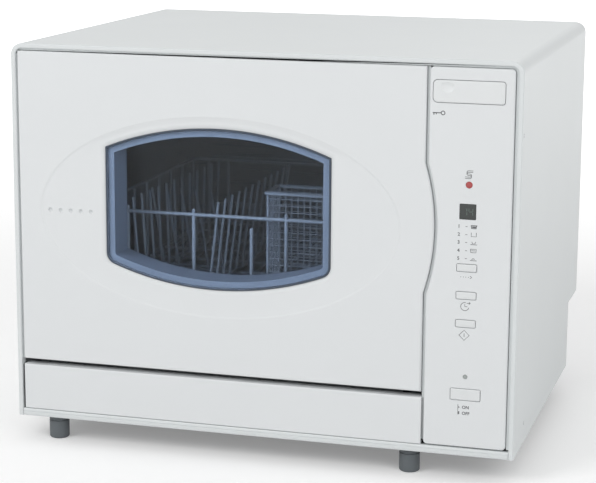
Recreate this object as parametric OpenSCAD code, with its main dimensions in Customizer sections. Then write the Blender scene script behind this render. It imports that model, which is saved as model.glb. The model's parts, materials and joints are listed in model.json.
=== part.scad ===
// Countertop dishwasher with a drop-down window door, a control column on the right and a wire rack.
// All sizes are millimetres. X runs to the right, Y into the machine, Z up; the feet stand on Z = 0.
// Inside the modules the front plane of the cabinet is y = 0, and in_cabinet() centres the depth.

/* [Cabinet] */
// Width over the painted side panels
cabinet_width = 550; // [540:2:580]
// Height of the cabinet above its feet
cabinet_height = 411; // [405:1:430]
// Depth from the front hem to the back panel
cabinet_depth = 453; // [445:1:500]
// Height of the feet under the cabinet
foot_height = 27; // [22:1:34]
// Thickness of the painted steel sheet
sheet = 1.2; // [0.8:0.1:1.6]
// Outer radius of the two long top bends
top_bend = 12.5; // [9:0.5:16]
// Width of the folded hem seen from the front
hem_width = 5; // [4:0.5:7]
// Height of the hose recess at the bottom of the back
recess_height = 79; // [76:1:84]
// Depth of the hose recess
recess_depth = 69; // [60:1:76]

/* [Front layout] */
// Height of the strip along the bottom of the front
trim_height = 8.3; // [6:0.1:11]
// Height of the kick panel
kick_height = 50; // [44:1:52]
// Open slot between the kick panel and the door
kick_slot = 6; // [5.5:0.5:8]
// Gap between the hem and the left edge of the door
door_gap = 1.5; // [1:0.1:2.5]
// Gap above the door
top_gap = 3; // [2:0.5:4]
// Distance from the cabinet's right side to the left edge of the control column
column_width = 95; // [92:1:104]
// Gap between the door and the control column
column_gap = 3.5; // [2.5:0.1:4.5]
// Gap between the control column and the right hem
fascia_gap = 3.7; // [2:0.1:5]
// How far the door and the fascia lie behind the front plane
front_set = 1.5; // [1:0.1:2.5]

/* [Door] */
// Depth from the door's front face to its inner face
door_depth = 48.5; // [44:0.5:52]
// Wall of the moulded outer door skin
skin_wall = 3; // [2.5:0.1:3.5]
// How far the door's right edge swells into the column
bulge_rise = 10.3; // [6:0.1:12]
// Radius of that swelling
bulge_radius = 226; // [180:1:260]
// Height of the hinge axis above the door's lower edge
hinge_rise = 8; // [7:0.5:10]
// Distance of the hinge axis behind the door's front face
hinge_set = 12; // [10.5:0.5:13]
// Diameter of the hinge pins
hinge_pin_d = 6; // [5:0.5:7]
// Radius of the hinge knuckles
knuckle_r = 5; // [4.5:0.1:5.4]
// Distance from the tub's side wall to each hinge arm
arm_gap = 8; // [7:0.5:9]
// Distance between the dimples left of the window
dimple_pitch = 11.6; // [10:0.1:13]

/* [Window] */
// Distance from the door's side to the window
window_side = 98.4; // [94:0.2:112]
// Height of the window at its middle
window_height = 172.4; // [150:1:180]
// Radius of the curved top and bottom edges
window_arc = 325; // [280:5:420]
// Radius of the two lower corners
window_corner = 13; // [8:0.5:18]
// Height of the window's middle above the door's lower edge
window_rise = 177.7; // [172:0.5:182]
// Visible width of the dark gasket
gasket_width = 2.2; // [1.5:0.1:3]
// Thickness of the glass panes
glass = 3.5; // [3:0.1:4]
// Width of the printed band of the window frame
band_width = 7; // [5:0.5:9]
// Wall of the window frame
frame_wall = 2; // [1.6:0.1:2.6]
// Distance from the door's side to the shallow ellipse pressed round the window
ellipse_side = 25; // [18:0.5:40]
// Half height of that ellipse
ellipse_b = 106.5; // [100:0.5:115]

/* [Tub] */
// Distance from the door's side to the tub's side wall
tub_side = 26.5; // [25.5:0.5:32]
// Thickness of the stainless tub
tub_wall = 1.2; // [0.8:0.1:1.6]
// Corner radius of the tub
tub_corner = 6; // [4:0.5:8]
// Width of the rails that the rack's wheels roll on
rail_width = 20; // [18:1:24]
// Thickness of those rails
rail_height = 4; // [3:0.5:5]
// Depth of the door seal in front of the tub's flange
seal_depth = 5.7; // [5:0.1:7]

/* [Rack] */
// Distance from the tub's side wall to the rack's side
rack_side_gap = 26; // [25.5:0.5:32]
// Distance from the tub's back wall to the rack
rack_back_gap = 11; // [9:1:40]
// Height of the rack's floor above the wheel rails
rack_rise = 19.5; // [18:0.5:24]
// Height of the front rail above the rack floor
rack_height = 94.5; // [80:0.5:110]
// Diameter of the rack's frame wires
wire = 4; // [3:0.2:5]
// Diameter of the plate supports
tine = 3; // [2.4:0.2:3.6]
// Distance between the plate supports
tine_pitch = 24; // [18:1:28]
// Height of the plate supports above the rack floor
tine_height = 98.6; // [80:0.2:120]
// Slant of the rack's lower front corner, along Y and Z
front_slant = 12; // [10:1:13]
// Diameter of the rack wheels
wheel_d = 24; // [20:1:26]
// Width of the rack wheels
wheel_width = 9; // [7:0.5:11]

/* [Cutlery basket] */
// Length of the cutlery basket
basket_length = 128; // [110:1:132]
// Depth of the cutlery basket
basket_depth = 48; // [40:1:60]
// Height of the cutlery basket
basket_height = 117; // [100:1:124]
// Thickness of the basket's walls
basket_wall = 1.6; // [1.2:0.1:2.4]

/* [Water parts] */
// Distance from the wheel rails to the circle that the spray arm sweeps
spray_gap = 10; // [6:1:24]
// Diameter of the round filter plate
filter_d = 150; // [130:1:160]
// Outer diameter of the inlet's threaded spigot
inlet_d = 26.4; // [26:0.1:27]
// Outer diameter of the drain spigot
drain_d = 21; // [18:0.5:23]

/* [Buttons] */
// Distance from the column's left edge to the door opening bar
open_left = 3.5; // [3:0.1:6]
// Distance from the column's right edge to that bar
open_right = 9.8; // [6:0.1:12]
// Height of the door opening bar
open_height = 22.6; // [20:0.2:24]
// Travel of the door opening bar
open_travel = 4; // [3:0.5:4]
// Length of the small buttons
key_length = 20.4; // [16:0.2:24]
// Height of the small buttons
key_height = 7.6; // [6:0.2:9]
// Length of the power button
power_length = 31; // [26:0.5:34]
// Height of the power button
power_height = 12; // [10:0.5:14]
// Clearance between a button and its opening
button_gap = 0.5; // [0.3:0.1:0.8]

/* [Feet] */
// Diameter of the feet
foot_d = 22; // [18:1:26]
// Distance of the front feet from the front plane
foot_front = 21; // [18:1:30]

/* [Hidden] */

white = [0.88, 0.89, 0.90];
steel = [0.72, 0.74, 0.76];
dark = [0.32, 0.34, 0.36];
coated = [0.55, 0.62, 0.70];
$fn = 64;

// Shared clearances
fit_gap = 0.3;
pin_gap = 0.05;

// Heights
base_z = foot_height;
top_z = base_z + cabinet_height;
trim_z = base_z + trim_height;
kick_z0 = trim_z + 0.7;
kick_z1 = kick_z0 + kick_height;
door_z0 = kick_z1 + kick_slot;
door_z1 = top_z - hem_width - top_gap;
recess_z = base_z + recess_height;
recess_y = cabinet_depth - recess_depth;
tray_z = base_z + sheet + 0.3;
tray_floor = 2.5;
tray_wall = 20;
floor_z = recess_z + sheet + 1.6 + tub_wall;

// Widths
half_w = cabinet_width / 2;
hem_return = 11;
door_x0 = -half_w + hem_width + door_gap;
column_x = half_w - column_width;
door_x1 = column_x - column_gap;
door_cx = (door_x0 + door_x1) / 2;
door_half = (door_x1 - door_x0) / 2;
window_width = 2 * (door_half - window_side);
ellipse_a = door_half - ellipse_side;
tub_half = door_half - tub_side;
arm_offset = tub_half + arm_gap;
fascia_x1 = half_w - hem_width - fascia_gap;
fascia_z0 = trim_z + 1.2;
fascia_z1 = door_z1;
button_x = fascia_x1 - 44.5;

// Door and hinge
door_y = front_set;
inner_y = door_y + door_depth;
inner_sheet = 1;
hinge_z = door_z0 + hinge_rise;
hinge_y = door_y + hinge_set;
ledge_z = hinge_z + inner_y - hinge_y;
skin_depth = 38.5;
lip_depth = 10.5;
bulge_z = door_z0 + 172;
ellipse_z = door_z0 + 169;
window_z = door_z0 + window_rise;
inner_half = tub_half + 20;
inner_z0 = hinge_z + 7.5;
inner_z1 = door_z1 - 4;
edge_round = 3;
sweep_r = norm([hinge_set - edge_round, hinge_rise - edge_round]) + edge_round;
dimple_x = door_cx - window_width / 2 - 63.5;

// Tub
flange_y = inner_y + fit_gap + seal_depth;
tub_back = cabinet_depth - 17;
opening_z0 = floor_z + 2.5;
opening_z1 = door_z1 - 6;
frame_y = flange_y + tub_wall + 0.3;

// Rack
rack_y0 = inner_y + 19;
rack_y1 = tub_back - rack_back_gap;
rack_depth = rack_y1 - rack_y0;
rack_half = tub_half - rack_side_gap;
rack_z = ledge_z + rack_rise;
wheel_z = ledge_z + wheel_d / 2 + fit_gap;
rack_top = rack_z + rack_height;
axle_d = 6;
wheel_x = tub_half - rail_width / 2 - 4;
wheel_y = [rack_y0 + 159, rack_y1 - 20];
tine_x = [door_cx - rack_half + 50, door_cx - rack_half + 131];
tine_y0 = rack_y0 + 26;

// Water parts
hub = [door_cx, (flange_y + tub_back) / 2];
arm_z = floor_z + 17;
spray_radius = tub_half - rail_width - spray_gap;
filter_at = [door_cx, hub[1] + 72];
filter_cup_d = 58;
salt_at = [door_cx + tub_half - rail_width - 35, recess_y - 54];
salt_d = 54;
inlet_at = [half_w - 45, base_z + 46];
drain_at = [half_w - 95, base_z + 40];
gland_at = [half_w - 20, base_z + 46];

// Buttons on the fascia
open_length = fascia_x1 - open_right - column_x - open_left;
open_at = [column_x + open_left + open_length / 2, door_z1 - 24.4];
rod_x = open_at[0] - open_length / 2 + 8.5;
key_z = [134.4 + door_z0, 105.6 + door_z0, 76.2 + door_z0];
power_at = [button_x + 1.6, door_z0 + 1];
display_at = [button_x - 0.3, door_z0 + 192.4];
salt_light_at = [button_x + 0.4, door_z0 + 219.9];
power_light_at = [button_x + 1.1, door_z0 + 20.1];

// Latch
striker_x = door_x1 - 11.5;
striker_z = door_z1 - 26;
latch_pivot = [inner_y + 42, striker_z + 12];
rod_z = striker_z - 5;

// Detergent dispenser in the right strip of the inner door
dispenser_x = door_cx + tub_half - 33;
dispenser_z = door_z0 + 176;
dispenser_w = 56;
dispenser_h = 124;
cup_z = dispenser_z + 34;
cap_z = dispenser_z - 34;

// Feet
foot_x = [door_x0 + 32.5, column_x - 18];
foot_rear = recess_y - 24;
stem_d = 8;

module in_cabinet() {
    translate([0, -cabinet_depth / 2, 0]) children();
}

module block(x0, x1, y0, y1, z0, z1) {
    translate([x0, y0, z0]) cube([x1 - x0, y1 - y0, z1 - z0]);
}

// A front-view outline (X, Z) drawn out from depth y0 to y1
module slab_y(y0, y1) {
    translate([0, y1, 0]) rotate([90, 0, 0]) linear_extrude(y1 - y0) children();
}

// A side-view outline (Y, Z) drawn out from x0 to x1
module slab_x(x0, x1) {
    translate([x0, 0, 0]) rotate([90, 0, 90]) linear_extrude(x1 - x0) children();
}

// A round bar along Y
module bar_y(x, z, y0, y1, d) {
    translate([x, y0, z]) rotate([-90, 0, 0]) cylinder(h = y1 - y0, d = d);
}

// A round bar along X
module bar_x(y, z, x0, x1, d) {
    translate([x0, y, z]) rotate([0, 90, 0]) cylinder(h = x1 - x0, d = d);
}

// A straight wire with eight sides between two points
module rod(a, b, d) {
    v = b - a;
    translate(a) rotate([0, acos(v[2] / norm(v)), atan2(v[1], v[0])]) cylinder(h = norm(v), d = d, $fn = 8);
}

// Rectangle with four round corners
module rounded(x0, x1, z0, z1, r) {
    translate([x0 + r, z0]) square([x1 - x0 - 2 * r, z1 - z0]);
    translate([x0, z0 + r]) square([x1 - x0, z1 - z0 - 2 * r]);
    for (x = [x0 + r, x1 - r]) {
        for (z = [z0 + r, z1 - r]) {
            translate([x, z]) circle(r = r);
        }
    }
}

// Rectangle whose two top corners are round
module arched(x0, x1, z0, z1, r) {
    rounded(x0, x1, z0, z1, r);
    translate([x0, z0]) square([x1 - x0, r]);
}

function arc(cx, cz, r, a0, a1, n) =
    [for (i = [0:n]) [cx + r * cos(a0 + (a1 - a0) * i / n), cz + r * sin(a0 + (a1 - a0) * i / n)]];

// Window outline drawn in by the distance e: curved top and bottom, straight sides, round lower corners
function window_points(e) =
    let (
        w = window_width / 2 - e,
        r = window_arc - e,
        low = window_z - window_height / 2 + window_arc,
        high = window_z + window_height / 2 - window_arc,
        c = max(window_corner - e, 1.5),
        cx = w - c,
        cz = low - sqrt((r - c) * (r - c) - cx * cx),
        tip = atan2(low - cz, cx),
        side = acos(w / r)
    )
    concat(
        arc(door_cx, high, r, side, 180 - side, 24),
        arc(door_cx - cx, cz, c, 180, 180 + tip, 6),
        arc(door_cx, low, r, 180 + tip, 360 - tip, 24),
        arc(door_cx + cx, cz, c, 360 - tip, 360, 6)
    );

module window_outline(e) {
    polygon(window_points(e));
}

module ellipse_outline(grow) {
    polygon([
        for (i = [0:89])
            [door_cx + (ellipse_a + grow) * cos(4 * i), ellipse_z + (ellipse_b + grow) * sin(4 * i)]
    ]);
}

// The door's front view, with the swelling on its right edge, drawn in by the distance e
module door_outline(e) {
    translate([door_x0 + e, door_z0 + e]) square([door_x1 - door_x0 - 2 * e, door_z1 - door_z0 - 2 * e]);
    intersection() {
        translate([door_x1 + bulge_rise - bulge_radius, bulge_z]) circle(r = bulge_radius - e, $fn = 360);
        translate([door_x1 - 20, bulge_z - 90]) square([60, 180]);
    }
}

module fascia_outline(e) {
    difference() {
        rounded(column_x + e, fascia_x1 - e, fascia_z0 + e, fascia_z1 - e, max(4 - e, 1));
        translate([door_x1 + bulge_rise - bulge_radius, bulge_z])
            circle(r = bulge_radius + column_gap + e, $fn = 360);
    }
}

// Tub opening in front view, grown outwards by the distance g
module opening(g) {
    rounded(door_cx - tub_half - g, door_cx + tub_half + g, opening_z0 - g, opening_z1 + g, tub_corner + g);
}

// Tub in front view, grown outwards by the distance g
module tub_outline(g) {
    rounded(door_cx - tub_half - g, door_cx + tub_half + g, floor_z - g, opening_z1 + g, tub_corner + g);
}

// Cabinet

module wrap_outline(t) {
    difference() {
        arched(-half_w, half_w, base_z, top_z, top_bend);
        translate([0, -1]) arched(-half_w + t, half_w - t, base_z, top_z - t + 1, max(top_bend - t, 2));
    }
}

module cabinet_wrap() {
    color(white) in_cabinet() difference() {
        union() {
            slab_y(0, cabinet_depth) wrap_outline(sheet);
            slab_y(0, sheet) wrap_outline(hem_width);
            slab_y(0, hem_return) difference() {
                wrap_outline(hem_width);
                wrap_outline(hem_width - sheet);
            }
            for (s = [-1, 1]) {
                x0 = s > 0 ? half_w - 18 : -half_w;
                block(x0, x0 + 18, 12, recess_y, base_z, base_z + sheet);
            }
        }
        block(-half_w - 1, half_w + 1, recess_y, cabinet_depth + 1, base_z - 1, recess_z);
        for (s = [-1, 1]) {
            translate([s * (half_w + 17.5), 12, door_z0 + 271]) sphere(r = 18.2);
            translate([s * (half_w + 17.5), 67, base_z + 21]) sphere(r = 18.2);
        }
    }
}

module back_panel() {
    w = half_w - sheet - fit_gap;
    color(steel) in_cabinet() difference() {
        union() {
            slab_y(cabinet_depth - sheet, cabinet_depth)
                arched(-w, w, recess_z, top_z - sheet - fit_gap, top_bend - sheet - fit_gap);
            block(-w, w, recess_y, cabinet_depth, recess_z, recess_z + sheet);
            block(-w, w, recess_y, recess_y + sheet, tray_z + tray_floor, recess_z + sheet);
            for (i = [-1.5:1:1.5]) {
                x = i * cabinet_width / 5.5;
                slab_y(cabinet_depth - 4, cabinet_depth - sheet) rounded(x - 12, x + 12, recess_z + 30, top_z - 40, 11);
            }
        }
        bar_y(inlet_at[0], inlet_at[1], recess_y - 1, recess_y + 3, inlet_d + 2);
        bar_y(drain_at[0], drain_at[1], recess_y - 1, recess_y + 3, drain_d + 2);
        bar_y(gland_at[0], gland_at[1], recess_y - 1, recess_y + 3, 13);
    }
}

// Plan of the tray, drawn in by the distance e; its front is narrower, to pass between the hems
module tray_plan(e) {
    w = half_w - sheet - fit_gap - e;
    nose = half_w - hem_width - fit_gap - e;
    translate([-w, hem_return + 0.5 + e]) square([2 * w, recess_y - fit_gap - hem_return - 0.5 - 2 * e]);
    translate([-nose, 6.1 + e]) square([2 * nose, 20]);
}

module base_tray() {
    color(dark) in_cabinet() difference() {
        union() {
            difference() {
                translate([0, 0, tray_z]) linear_extrude(tray_wall) tray_plan(0);
                translate([0, 0, tray_z + tray_floor]) linear_extrude(tray_wall) tray_plan(tray_floor);
                block(-half_w, half_w, 0, front_set + 16, trim_z + 0.5, top_z);
            }
            for (x = foot_x) {
                for (y = [foot_front, foot_rear]) {
                    translate([x, y, base_z]) cylinder(h = 24, d = 26);
                }
            }
            for (i = [1:3]) {
                y = i * recess_y / 5;
                block(-half_w + 3, half_w - 3, y, y + tray_floor, tray_z, tray_z + 9);
            }
        }
        for (x = foot_x) {
            for (y = [foot_front, foot_rear]) {
                translate([x, y, base_z - 1]) cylinder(h = 40, d = stem_d + 2 * pin_gap);
            }
        }
    }
}

module foot(x, y) {
    color(dark) in_cabinet() translate([x, y, 0]) {
        difference() {
            union() {
                cylinder(h = 1.5, d1 = foot_d - 3, d2 = foot_d);
                translate([0, 0, 1.5]) cylinder(h = foot_height - 1.8, d = foot_d);
            }
            translate([0, 0, foot_height - 7]) difference() {
                cylinder(h = 1.2, d = foot_d + 2);
                translate([0, 0, -1]) cylinder(h = 4, d = foot_d - 2);
            }
        }
        translate([0, 0, foot_height - 1]) cylinder(h = 22, d = stem_d);
    }
}

module foot_front_left() { foot(foot_x[0], foot_front); }
module foot_front_right() { foot(foot_x[1], foot_front); }
module foot_rear_left() { foot(foot_x[0], foot_rear); }
module foot_rear_right() { foot(foot_x[1], foot_rear); }

module bottom_trim() {
    w = half_w - hem_width - fit_gap;
    color(white) in_cabinet() difference() {
        block(-w, w, 0.8, 5.8, base_z, trim_z);
        block(-half_w + 18, half_w - 18, 1.8, 3.2, trim_z - 1.2, trim_z + 1);
    }
}

// One moulded profile with ribs behind it; its top stays clear of the door's lower edge as that swings
module kick_panel() {
    x0 = door_x0 + 0.7;
    x1 = column_x - 2.5;
    y = front_set;
    wall = 2.5;
    color(white) in_cabinet() difference() {
        union() {
            slab_x(x0, x1) polygon([
                [y, kick_z0], [y, kick_z1 - 1.5], [y + 0.5, kick_z1 - 0.4], [y + 1.5, kick_z1], [y + 14, kick_z1],
                [y + 14, kick_z1 - wall], [y + wall, kick_z1 - wall], [y + wall, kick_z0 + wall],
                [y + 6, kick_z0 + wall], [y + 6, kick_z0]
            ]);
            for (i = [0:6]) {
                x = x0 + 18 + i * (x1 - x0 - 38) / 6;
                slab_x(x, x + 2) polygon([
                    [y + 1, kick_z0 + 1], [y + 5, kick_z0 + 1], [y + 13, kick_z1 - 1], [y + 1, kick_z1 - 1]
                ]);
            }
        }
        bar_x(hinge_y, hinge_z, -half_w, half_w, 2 * (sweep_r + 0.4));
    }
}

module front_frame() {
    w = half_w - sheet - fit_gap;
    color(white) in_cabinet() difference() {
        union() {
            slab_y(frame_y, frame_y + sheet)
                arched(-w, column_x, tray_z + tray_wall + 0.5, top_z - sheet - fit_gap, top_bend - sheet - fit_gap);
            block(column_x - sheet, column_x, front_set + 16, frame_y + sheet, fascia_z0 + 2, top_z - 14);
        }
        slab_y(frame_y - 1, frame_y + 3) tub_outline(tub_wall + 0.5);
        block(striker_x - 4, striker_x + 4, frame_y - 1, frame_y + 3, striker_z - 8, striker_z + 20);
    }
}

module tub() {
    color(steel) in_cabinet() difference() {
        union() {
            difference() {
                slab_y(flange_y, tub_back + tub_wall) tub_outline(tub_wall);
                slab_y(flange_y - 1, tub_back) tub_outline(0);
            }
            difference() {
                slab_y(flange_y, flange_y + tub_wall) opening(11);
                slab_y(flange_y - 1, flange_y + 3) opening(0);
            }
        }
        translate([hub[0], hub[1], floor_z - 5]) cylinder(h = 8, d = 40);
        translate([filter_at[0], filter_at[1], floor_z - 5]) cylinder(h = 8, d = filter_cup_d + 14);
        translate([salt_at[0], salt_at[1], floor_z - 5]) cylinder(h = 8, d = salt_d + 10);
    }
}

// Two rails on the tub's side walls, level with the inner door when it is open
module wheel_rails() {
    chamfer = rail_height / 2;
    color(steel) in_cabinet() for (s = [-1, 1]) {
        x = door_cx + s * tub_half;
        slab_x(min(x, x - s * rail_width), max(x, x - s * rail_width)) polygon([
            [flange_y + 1, ledge_z - rail_height], [tub_back, ledge_z - rail_height], [tub_back, ledge_z],
            [flange_y + 1 + chamfer, ledge_z], [flange_y + 1, ledge_z - chamfer]
        ]);
    }
}

module tub_seal() {
    color(dark) in_cabinet() difference() {
        slab_y(flange_y - seal_depth, flange_y) opening(8);
        slab_y(flange_y - seal_depth - 1, flange_y + 1) opening(1);
        slab_y(flange_y - seal_depth + 1.6, flange_y - 1.6) difference() {
            opening(6.6);
            opening(2.4);
        }
    }
}

// Hinges

module hinge_brackets() {
    color(steel) in_cabinet() for (s = [-1, 1]) {
        translate([door_cx + s * arm_offset, 0, 0]) difference() {
            union() {
                for (x = [-4.5, 2]) {
                    slab_x(x, x + 2.5) union() {
                        translate([hinge_y, hinge_z]) circle(r = knuckle_r);
                        translate([hinge_y, hinge_z - knuckle_r]) square([frame_y - hinge_y, 2 * knuckle_r - 2]);
                    }
                }
                block(-12, 12, frame_y - 2, frame_y, hinge_z - 34, hinge_z + 1);
            }
            bar_x(hinge_y, hinge_z, -20, 20, hinge_pin_d);
        }
    }
}

module hinge_pins() {
    color(steel) in_cabinet() for (s = [-1, 1]) {
        translate([door_cx + s * arm_offset, 0, 0]) {
            bar_x(hinge_y, hinge_z, -6, 6, hinge_pin_d - 2 * pin_gap);
            bar_x(hinge_y, hinge_z, -6.8, -4.6, hinge_pin_d + 3);
        }
    }
}

module hinge_arms() {
    y1 = inner_y - inner_sheet;
    color(steel) in_cabinet() for (s = [-1, 1]) {
        translate([door_cx + s * arm_offset, 0, 0]) difference() {
            union() {
                slab_x(-1.25, 1.25) union() {
                    translate([hinge_y, hinge_z]) circle(r = knuckle_r);
                    polygon([
                        [hinge_y - knuckle_r, hinge_z], [hinge_y + knuckle_r, hinge_z], [hinge_y + knuckle_r, hinge_z + 14],
                        [y1 - 10, hinge_z + 24], [y1 - 2, hinge_z + 28], [y1 - 2, hinge_z + 100],
                        [y1 - 18, hinge_z + 100], [hinge_y - knuckle_r, hinge_z + 30]
                    ]);
                }
                block(s > 0 ? -14 : -1.25, s > 0 ? 1.25 : 14, y1 - 2.5, y1, hinge_z + 24, hinge_z + 100);
            }
            bar_x(hinge_y, hinge_z, -5, 5, hinge_pin_d);
            for (z = [40, 84]) {
                bar_y(s > 0 ? -9 : 9, hinge_z + z, y1 - 4, y1 + 1, 4.2);
            }
        }
    }
}

// Door

module door_skin() {
    color(white) in_cabinet() difference() {
        union() {
            difference() {
                slab_y(door_y, door_y + 12.5) door_outline(0);
                slab_y(door_y + skin_wall, door_y + 13) door_outline(2.5);
            }
            difference() {
                block(door_x0, door_x1, door_y, door_y + skin_depth, door_z0, door_z1);
                block(door_x0 + 2.5, door_x1 - 2.5, door_y - 1, door_y + skin_depth + 1, door_z0 - 1, door_z1 - 2.5);
            }
            block(door_x0 + 1, door_x1 - 1, door_y + 1, door_y + lip_depth, door_z0, door_z0 + 2.5);
        }
        slab_y(door_y - 1, door_y + skin_wall + 1) window_outline(0);
        slab_y(door_y - 1, door_y + 0.7) ellipse_outline(0);
        for (i = [0:4]) {
            translate([dimple_x + i * dimple_pitch, door_y - 1.2, ellipse_z]) sphere(r = 3.4);
        }
        difference() {
            block(door_x0 - 1, door_x1 + 1, door_y - 1, door_y + edge_round, door_z0 - 1, door_z0 + edge_round);
            bar_x(door_y + edge_round, door_z0 + edge_round, door_x0 - 2, door_x1 + 2, 2 * edge_round);
        }
        block(door_x0 - 1, door_x1 + 20, door_y + lip_depth, door_y + skin_depth + 1, door_z0 - 1, hinge_z + 1);
        // Notches in the lower lip for the brackets
        for (s = [-1, 1]) {
            x = door_cx + s * arm_offset;
            block(x - 6.5, x + 6.5, door_y + skin_wall, door_y + lip_depth + 1, door_z0 - 1, door_z0 + 3.5);
        }
    }
    // Rim that stands round the window
    color(white) in_cabinet() slab_y(door_y, door_y + skin_wall) difference() {
        window_outline(-6);
        window_outline(0);
    }
}

module door_inner_panel() {
    x0 = door_cx - inner_half;
    x1 = door_cx + inner_half;
    y0 = door_y + 16;
    color(steel) in_cabinet() difference() {
        union() {
            slab_y(inner_y - inner_sheet, inner_y) rounded(x0, x1, inner_z0, inner_z1, 8);
            slab_y(y0, inner_y) difference() {
                rounded(x0, x1, inner_z0, inner_z1, 8);
                rounded(x0 + 1.2, x1 - 1.2, inner_z0 + 1.2, inner_z1 - 1.2, 6.8);
            }
        }
        slab_y(inner_y - 3, inner_y + 1) window_outline(-1.5);
        dispenser_cut(0.3);
        for (s = [-1, 1]) {
            block(door_cx + s * arm_offset - 3, door_cx + s * arm_offset + 3, y0 - 1, inner_y - inner_sheet - 4,
                inner_z0 - 1, inner_z0 + 10);
        }
    }
}

module door_striker() {
    color(steel) in_cabinet() {
        slab_x(striker_x - 1.5, striker_x + 1.5) polygon([
            [inner_y, striker_z - 3], [inner_y + 6, striker_z], [inner_y + 18, striker_z],
            [inner_y + 18, striker_z + 10], [inner_y + 13, striker_z + 12], [inner_y, striker_z + 14]
        ]);
        block(striker_x - 4.5, striker_x + 4.5, inner_y, inner_y + 1.5, striker_z - 9, striker_z + 17);
    }
}

// Window

module window_gasket() {
    color(dark) in_cabinet() slab_y(door_y + 0.6, door_y + 6.4) difference() {
        window_outline(fit_gap);
        window_outline(gasket_width);
    }
}

module window_outer_pane() {
    y0 = door_y + 1.6;
    color([0.5, 0.6, 0.72, 0.4]) in_cabinet() slab_y(y0, y0 + glass) window_outline(gasket_width + 0.1);
}

module window_frame() {
    y0 = door_y + 1.6 + glass + 0.1;
    y1 = inner_y - glass - 3.5;
    color([0.50, 0.59, 0.71]) in_cabinet() union() {
        slab_y(y0, y0 + frame_wall) difference() {
            window_outline(gasket_width + 0.2);
            window_outline(gasket_width + band_width);
        }
        slab_y(y0, y1) difference() {
            window_outline(gasket_width + band_width - frame_wall);
            window_outline(gasket_width + band_width);
        }
        slab_y(y1 - frame_wall, y1) difference() {
            window_outline(gasket_width + 0.2);
            window_outline(gasket_width + band_width);
        }
    }
}

module window_inner_pane() {
    y1 = inner_y - 3.4;
    color([0.25, 0.28, 0.34, 0.5]) in_cabinet() slab_y(y1 - glass, y1) window_outline(1);
    color(dark) in_cabinet() slab_y(y1, inner_y - 0.2) difference() {
        window_outline(-1.2);
        window_outline(4);
    }
}

// Detergent dispenser

module dispenser_cut(g) {
    block(dispenser_x - dispenser_w / 2 - g, dispenser_x + dispenser_w / 2 + g, inner_y - 5, inner_y + 5,
        dispenser_z - dispenser_h / 2 - g, dispenser_z + dispenser_h / 2 + g);
}

module dispenser() {
    color([0.75, 0.76, 0.78]) in_cabinet() difference() {
        union() {
            slab_y(inner_y - 26, inner_y + 2) rounded(dispenser_x - dispenser_w / 2, dispenser_x + dispenser_w / 2,
                dispenser_z - dispenser_h / 2, dispenser_z + dispenser_h / 2, 5);
        }
        slab_y(inner_y - 22, inner_y + 3) rounded(dispenser_x - 22, dispenser_x + 22, cup_z - 22, cup_z + 22, 6);
        bar_y(dispenser_x, cap_z, inner_y - 14, inner_y + 3, 30.4);
    }
}

module dispenser_lid() {
    y0 = inner_y + 2.3;
    color([0.66, 0.68, 0.71]) in_cabinet() {
        slab_y(y0, y0 + 2.2) rounded(dispenser_x - 25, dispenser_x + 25, cup_z - 25, cup_z + 25, 4);
        slab_y(y0 + 2.2, y0 + 4.4) rounded(dispenser_x - 14, dispenser_x + 14, cup_z - 20, cup_z - 15, 2);
    }
}

module rinse_cap() {
    color([0.30, 0.42, 0.60]) in_cabinet() {
        bar_y(dispenser_x, cap_z, inner_y - 13.5, inner_y + 2.2, 30.2);
        bar_y(dispenser_x, cap_z, inner_y + 2.1, inner_y + 4.4, 38);
        block(dispenser_x - 14, dispenser_x + 14, inner_y + 4, inner_y + 8, cap_z - 2.2, cap_z + 2.2);
    }
}

// Water system

module sump() {
    x0 = hub[0] - 62;
    z0 = tray_z + tray_floor + 13;
    color(dark) in_cabinet() difference() {
        union() {
            block(x0, hub[0] + 62, hub[1] - 30, recess_y - 20, z0 + 16, floor_z - tub_wall - fit_gap);
            translate([filter_at[0], filter_at[1], z0])
                cylinder(h = floor_z - tub_wall - fit_gap - z0, d = filter_cup_d + 16);
            bar_x(filter_at[1], z0 + 10, x0 - 6, filter_at[0], 26);
        }
        translate([filter_at[0], filter_at[1], z0 + 3]) cylinder(h = 100, d = filter_cup_d + 4);
        translate([hub[0], hub[1], z0 + 24]) cylinder(h = 100, d = 14);
    }
}

module spray_hub() {
    z0 = floor_z - tub_wall - fit_gap;
    color([0.70, 0.72, 0.75]) in_cabinet() translate([hub[0], hub[1], 0]) difference() {
        union() {
            translate([0, 0, z0]) cylinder(h = arm_z - z0 - 0.4, d = 34);
            translate([0, 0, z0]) cylinder(h = arm_z - z0 + 12, d = 18);
        }
        translate([0, 0, z0 - 1]) cylinder(h = 60, d = 12);
    }
}

module spray_arm() {
    color([0.62, 0.66, 0.72]) in_cabinet() translate([hub[0], hub[1], arm_z]) difference() {
        union() {
            cylinder(h = 15, d = 44);
            linear_extrude(10) polygon([
                [-spray_radius, -9], [-spray_radius + 12, -15], [-30, -21], [0, -22], [spray_radius - 3, -11],
                [spray_radius, -6], [spray_radius, 9], [spray_radius - 12, 15], [30, 21], [0, 22],
                [-spray_radius + 3, 11], [-spray_radius, 6]
            ]);
        }
        translate([0, 0, -1]) cylinder(h = 13.2, d = 18 + 2 * pin_gap);
        for (i = [1:5]) {
            translate([i * 28 + 14, 4, 6]) cylinder(h = 10, d = 3.2, $fn = 24);
            translate([-i * 28 - 14, -4, 6]) cylinder(h = 10, d = 3.2, $fn = 24);
        }
    }
}

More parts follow.
